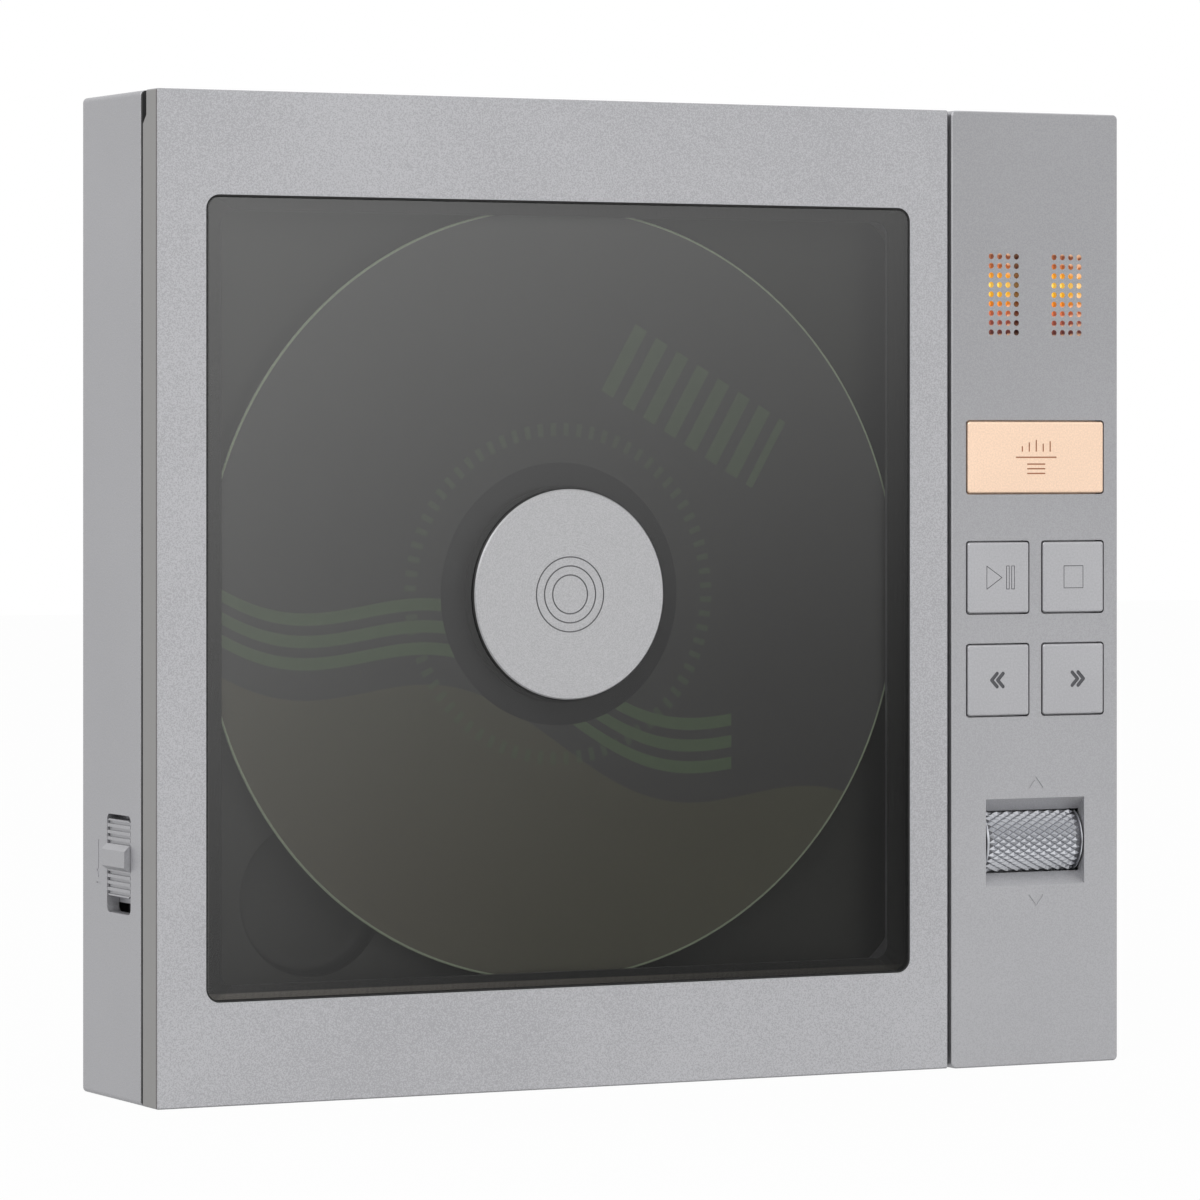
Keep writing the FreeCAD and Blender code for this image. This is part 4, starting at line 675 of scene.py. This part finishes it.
# The buttons and the open slider: aluminium with rounded edges, anodised before the buttons' signs are cut
# through the colour. The wide one is copper coloured. Each stands 0.3 mm proud in its own opening.

sign_front = -0.01524
sign_floor = -0.01513
sign_blur = 0.000015
square_room = (0.00485, 0.00485)
copper_room = (0.01175, 0.00495)


def button_metal(name, colour, sign, places, room):
    """Satin anodised metal; the cut signs are found by their depth, away from the rounded edges."""
    graph = finish(name)
    place = place_in(graph)
    brush = noise(graph, place, 3600.0, 2.0)
    cloud = noise(graph, place, 45.0, 2.0)
    x, y, z = (graph.part(place, axis) for axis in range(3))
    inside = sum(graph.below(abs(x - middle_x), room[0]) * graph.below(abs(z - middle_z), room[1])
                 for middle_x, middle_z in places)
    darker_mark = inside * graph.above(y, sign_front, sign_blur) * graph.below(y, sign_floor, sign_blur)
    satin = graph.smooth(brush * 0.7 + cloud * 0.3, 0.36, 0.64)
    metal = graph.mix(satin, tinted(colour, 0.94), tinted(colour, 1.06))
    return surface(graph, {
        "Base Color": graph.mix(darker_mark, metal, sign),
        "Metallic": between(graph, darker_mark, 0.75, 0.2),
        "Roughness": between(graph, brush, 0.36, 0.48),
        "Normal": bumped(graph, brush, 0.2, 0.00002),
    })


copper_places = [(0.06855, 0.09775)]
square_places = [(x, z) for x in (0.061575, 0.075525) for z in (0.07845, 0.0620)]
dress(button_metal("copper_metal", paint(244, 214, 189), paint(172, 112, 76), copper_places, copper_room),
      "menu_button")
dress(button_metal("button_metal", paint(176, 176, 179), paint(84, 84, 88), square_places, square_room),
      "play_button", "stop_button", "previous_button", "next_button", "open_slider")


# The volume wheel: a bright aluminium drum, turned with smooth rims and knurled between them with two hands
# of crossing grooves, which leave small blunt pyramids. It turns on its axle in a pocket with sloped ends.

def turned_shell(name, outline, middle, steps):
    """A closed outline of (radius, x) points turned about a line along x."""
    points = []
    for step in range(steps):
        angle = 2 * math.pi * step / steps
        for radius, x in outline:
            points.append((middle[0] + x, middle[1] + radius * math.cos(angle),
                           middle[2] + radius * math.sin(angle)))
    count = len(outline)
    faces = []
    for step in range(steps):
        here, there = step * count, (step + 1) % steps * count
        for corner in range(count):
            other = (corner + 1) % count
            faces.append((here + corner, here + other, there + other, there + corner))
    mesh = bpy.data.meshes.new(name)
    mesh.from_pydata(points, [], faces)
    mesh.update()
    return mesh


def shape_tree(name, inputs):
    """An empty tree of Geometry Nodes with named inputs, and the outlets of those inputs."""
    tree = bpy.data.node_groups.new(name, "GeometryNodeTree")
    tree.interface.new_socket("Shape", in_out="INPUT", socket_type="NodeSocketGeometry")
    for label, kind in inputs.items():
        tree.interface.new_socket(label, in_out="INPUT", socket_type=kind)
    tree.interface.new_socket("Shape", in_out="OUTPUT", socket_type="NodeSocketGeometry")
    graph = Graph(tree)
    outlets = graph.add("NodeGroupInput").socket.node.outputs
    return graph, {outlet.name: Value(graph, outlet) for outlet in outlets if outlet.name}


def grown(piece, graph, settings):
    """The piece's mesh after its tree has run with these inputs, as a plain mesh of its own."""
    modifier = piece.modifiers.new(graph.tree.name, "NODES")
    modifier.node_group = graph.tree
    for item in graph.tree.interface.items_tree:
        if item.in_out == "INPUT" and item.name in settings:
            modifier[item.identifier] = settings[item.name]
    bpy.context.view_layer.update()
    shaped = piece.evaluated_get(bpy.context.evaluated_depsgraph_get())
    mesh = bpy.data.meshes.new_from_object(shaped)
    piece.modifiers.clear()
    piece.data = mesh
    return piece


def knurl_tree():
    graph, given = shape_tree("knurl", {
        "Core Radius": "NodeSocketFloat", "Knurl Depth": "NodeSocketFloat", "Knurl Width": "NodeSocketFloat",
        "Starts": "NodeSocketInt", "Rows": "NodeSocketInt", "Blunt Share": "NodeSocketFloat",
        "Middle": "NodeSocketVector", "Finish": "NodeSocketMaterial"})
    number = graph.add("GeometryNodeInputIndex")
    row = number.maths("FLOOR", (number + 0.5) / given["Starts"])
    pitch = given["Knurl Width"] / (given["Rows"] + 1.0)
    share = (number % given["Starts"] + (row % 2.0) * 0.5) / given["Starts"]
    angle = share * (2 * math.pi)
    radius = given["Core Radius"]
    spot = graph.add("ShaderNodeCombineXYZ", sockets={
        0: (row - (given["Rows"] - 1.0) * 0.5) * pitch,
        1: radius * angle.maths("COSINE", angle),
        2: radius * angle.maths("SINE", angle)})
    spots = graph.add("GeometryNodePoints", sockets={"Count": given["Starts"] * given["Rows"],
                                                     "Position": spot})
    half_round = radius * math.pi / given["Starts"]
    tooth = graph.add("GeometryNodeMeshCone", {"fill_type": "NGON"}, {
        "Vertices": 4, "Side Segments": 1, "Radius Top": given["Blunt Share"], "Radius Bottom": 1.0,
        "Depth": given["Knurl Depth"]})
    spread = graph.add("ShaderNodeCombineXYZ", sockets={0: pitch, 1: half_round, 2: 1.0})
    sized = graph.add("GeometryNodeTransform", sockets={"Geometry": tooth, "Scale": spread})
    lean = graph.add("ShaderNodeCombineXYZ", sockets={0: angle - math.pi / 2})
    teeth = graph.add("GeometryNodeInstanceOnPoints", sockets={"Points": spots, "Instance": sized,
                                                               "Rotation": lean})
    placed = graph.add("GeometryNodeTransform", sockets={"Geometry": teeth, "Translation": given["Middle"]})
    both = graph.add("GeometryNodeJoinGeometry", sockets={0: placed})
    graph.tree.links.new(given["Shape"].socket, both.socket.node.inputs[0])
    real = graph.add("GeometryNodeRealizeInstances", sockets={0: both})
    dressed = graph.add("GeometryNodeSetMaterial", sockets={"Geometry": real, "Material": given["Finish"]})
    graph.add("NodeGroupOutput", sockets={0: dressed})
    return graph


wheel_middle = Vector((0.06855, -0.009375, 0.0359))
wheel_radius = 0.0058
wheel_half = 0.0089
wheel_steps = 108
wheel_collar = 0.0003
knurl_depth = 0.0004
knurl_foot = 1.02
knurl_tip = 0.78
axle_radius = 0.0015


def wheel_metal():
    """Bright knurled metal: clean on the blunt tips and painted dark with shade between them."""
    graph = finish("wheel_metal")
    place = place_in(graph)
    back = graph.part(place, 1) - wheel_middle.y
    up = graph.part(place, 2) - wheel_middle.z
    reach = (back * back + up * up) ** 0.5
    tip = graph.smooth(reach, wheel_radius - knurl_depth * knurl_foot, wheel_radius - knurl_depth * knurl_tip)
    chatter = noise(graph, place, 2600.0, 2.0)
    bright = graph.mix(chatter, (0.44, 0.45, 0.48, 1), (0.58, 0.59, 0.62, 1))
    return surface(graph, {
        # Painted shade darkens the valleys between the knurl's tips.
        "Base Color": graph.mix(tip, (0.13, 0.13, 0.14, 1), bright),
        "Metallic": 0.9,
        "Roughness": between(graph, tip, 0.45, 0.30) + chatter * 0.06,
        "Normal": bumped(graph, chatter, 0.15, 0.00002),
    })


wheel_skin = wheel_metal()
core_radius = wheel_radius - knurl_depth
wheel_floor = core_radius - 0.00002
wheel_bevel = wheel_half - wheel_collar / 2
wheel_groove = wheel_half - wheel_collar
half_outline = [(axle_radius, wheel_half), (wheel_radius - wheel_collar / 2, wheel_half),
                (wheel_radius, wheel_bevel), (wheel_radius, wheel_groove), (wheel_floor, wheel_groove)]
wheel_outline = [(radius, -x) for radius, x in half_outline] + half_outline[::-1]
wheel_core = turned_shell("wheel_core", wheel_outline, wheel_middle, wheel_steps)
wheel = bpy.data.objects.new("knurled_wheel", wheel_core)
bpy.context.scene.collection.objects.link(wheel)
grown(wheel, knurl_tree(), {
    "Core Radius": core_radius, "Knurl Depth": knurl_depth, "Knurl Width": 2 * wheel_groove,
    "Starts": 32, "Rows": 17, "Blunt Share": 0.14, "Middle": wheel_middle, "Finish": wheel_skin})
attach(wheel, "wheel")
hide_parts("volume_wheel")


# The slider's return spring: hard steel wire wound into a close coil, held between the guide's shelf and
# the slider's foot. In the player it is pressed shorter when the slider is pushed down; here it is one
# fixed coil on the housing.

spring_foot = Vector((-0.0805, 0.000475, 0.0213))
spring_length = 0.0085
spring_pitch = 0.00095
coil_radius = 0.0010
wire_radius = 0.00015


def coil_tree():
    graph, given = shape_tree("coil", {
        "Turns": "NodeSocketFloat", "Coil Radius": "NodeSocketFloat", "Coil Height": "NodeSocketFloat",
        "Wire Radius": "NodeSocketFloat", "Foot": "NodeSocketVector", "Finish": "NodeSocketMaterial"})
    path = graph.add("GeometryNodeCurveSpiral", sockets={
        "Resolution": 24, "Rotations": given["Turns"], "Start Radius": given["Coil Radius"],
        "End Radius": given["Coil Radius"], "Height": given["Coil Height"]})
    ring = graph.add("GeometryNodeCurvePrimitiveCircle", sockets={"Resolution": 10,
                                                                  "Radius": given["Wire Radius"]})
    wire = graph.add("GeometryNodeCurveToMesh", sockets={"Curve": path, "Profile Curve": ring,
                                                         "Fill Caps": True})
    placed = graph.add("GeometryNodeTransform", sockets={"Geometry": wire, "Translation": given["Foot"]})
    real = graph.add("GeometryNodeRealizeInstances", sockets={0: placed})
    dressed = graph.add("GeometryNodeSetMaterial", sockets={"Geometry": real, "Material": given["Finish"]})
    graph.add("NodeGroupOutput", sockets={0: dressed})
    return graph


coil_height = spring_length - 2 * wire_radius
spring = bpy.data.objects.new("return_spring", bpy.data.meshes.new("coil"))
bpy.context.scene.collection.objects.link(spring)
grown(spring, coil_tree(), {
    "Turns": coil_height / spring_pitch, "Coil Radius": coil_radius, "Coil Height": coil_height,
    "Wire Radius": wire_radius, "Foot": spring_foot + Vector((0, 0, wire_radius)),
    "Finish": steel("spring_steel", (0.42, 0.42, 0.44, 1), 0.28, (0.2, 0.2, 1), 5200.0)})
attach(spring, "housing")
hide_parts("latch_spring")
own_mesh(spring)


# The tubes: two thin glass bottles with grey nickel plates inside, lit amber from behind and held in pale
# rubber clips on their own board. The grilles' round holes show them in glimpses.

plate_shade_edge = 0.0100
plate_shade_start = 0.0080
shade_right = 0.0032
shade_left = 0.0018
tube_reach = 0.00395
flicker_rise = 0.0012


def painted_glow_glass():
    """Clear glass with a painted glow of the amber light behind it, faded by painted shade where the plates
    hide it.
    """
    graph = finish("tube_glass")
    place = place_in(graph)
    flicker = noise(graph, place, 420.0, 2.0)
    x, z = graph.part(place, 0), graph.part(place, 2)
    # Painted glow, faded by painted shade above and below the plates' middle and towards each tube's right
    # side.
    middle = graph.smooth(abs(z - grille_z), plate_shade_edge, plate_shade_start)
    shown = sum(graph.smooth(x - grille_x, shade_right, shade_left)
                * graph.below(abs(x - grille_x), tube_reach) for grille_x in grille_xs)
    return surface(graph, {
        "Base Color": (0.10, 0.07, 0.05, 1),
        "Roughness": 0.05 + flicker * 0.03,
        "Alpha": between(graph, middle, 0.25, 0.9),
        "Emission Color": graph.mix(middle * between(graph, shown, 0.06, 1.0), (0, 0, 0, 1),
                                    glow(graph, z + (flicker - 0.5) * flicker_rise)),
        "Emission Strength": 1.3,
    })


def amber_lamp():
    graph = finish("amber_lamp")
    place = place_in(graph)
    mould = noise(graph, place, 1500.0, 2.0)
    return surface(graph, {
        "Base Color": graph.mix(mould, (0.9, 0.45, 0.10, 1), (1.0, 0.55, 0.16, 1)),
        "Roughness": between(graph, mould, 0.2, 0.3),
        "Emission Color": graph.mix(mould, (1.0, 0.42, 0.06, 1), (1.0, 0.50, 0.10, 1)),
        "Emission Strength": 0.8,
    })


dress(painted_glow_glass(), "tube_envelopes")
dress(amber_lamp(), "tube_lamps")
dress(steel("tube_metal", (0.12, 0.12, 0.125, 1), 0.45, (1, 1, 0.3), 1300.0), "tube_electrodes")
dress(steel("lead_wire", (0.62, 0.38, 0.22, 1), 0.3, (1, 1, 0.05), 5000.0), "tube_leads")
dress(soft_rubber("pale_rubber", (0.55, 0.54, 0.50, 1), 0.05), "tube_sleeves")


# The boards and the battery. The boards are glass fibre under a green mask with copper runs, and the battery
# is a pouch in a printed dark blue wrap. The switches, sockets and sensors are moulded in black plastic.

board_scale = 1000.0


def board_mask():
    graph = finish("board_green")
    place = place_in(graph)
    flat_place = graph.add("ShaderNodeCombineXYZ", sockets={
        0: graph.part(place, 0) * board_scale, 1: graph.part(place, 2) * board_scale})
    runs = graph.add("ShaderNodeTexBrick", {"offset": 0.5}, {
        "Vector": flat_place,
        "Color1": (0.010, 0.085, 0.035, 1), "Color2": (0.014, 0.11, 0.045, 1),
        "Mortar": (0.025, 0.16, 0.07, 1), "Scale": 0.6, "Mortar Size": 0.05, "Brick Width": 1.7,
        "Row Height": 0.55})
    weave = noise(graph, place, 1800.0, 2.0)
    return surface(graph, {
        "Base Color": runs,
        "Roughness": between(graph, weave, 0.28, 0.42),
        "Normal": bumped(graph, weave, 0.15, 0.00001),
    })


def battery_wrap():
    graph = finish("battery_wrap")
    place = place_in(graph)
    creases = noise(graph, place, 160.0, 4.0, (0.3, 1, 1))
    return surface(graph, {
        "Base Color": graph.mix(creases, (0.020, 0.028, 0.070, 1), (0.030, 0.042, 0.100, 1)),
        "Roughness": between(graph, creases, 0.32, 0.5),
        "Normal": bumped(graph, creases, 0.3, 0.0001),
    })


dress(board_mask(), "main_circuit_board", "tube_board", "key_board")
dress(battery_wrap(), "battery_pack")
dress(moulded_plastic("socket_plastic", (0.030, 0.030, 0.030, 1), 3000.0, 0.35, 0.00001), "headphone_jack",
      "balanced_jack")
dress(black_plastic, "board_components", "key_switches", "wheel_encoder", "latch_guide", "lid_sensor")
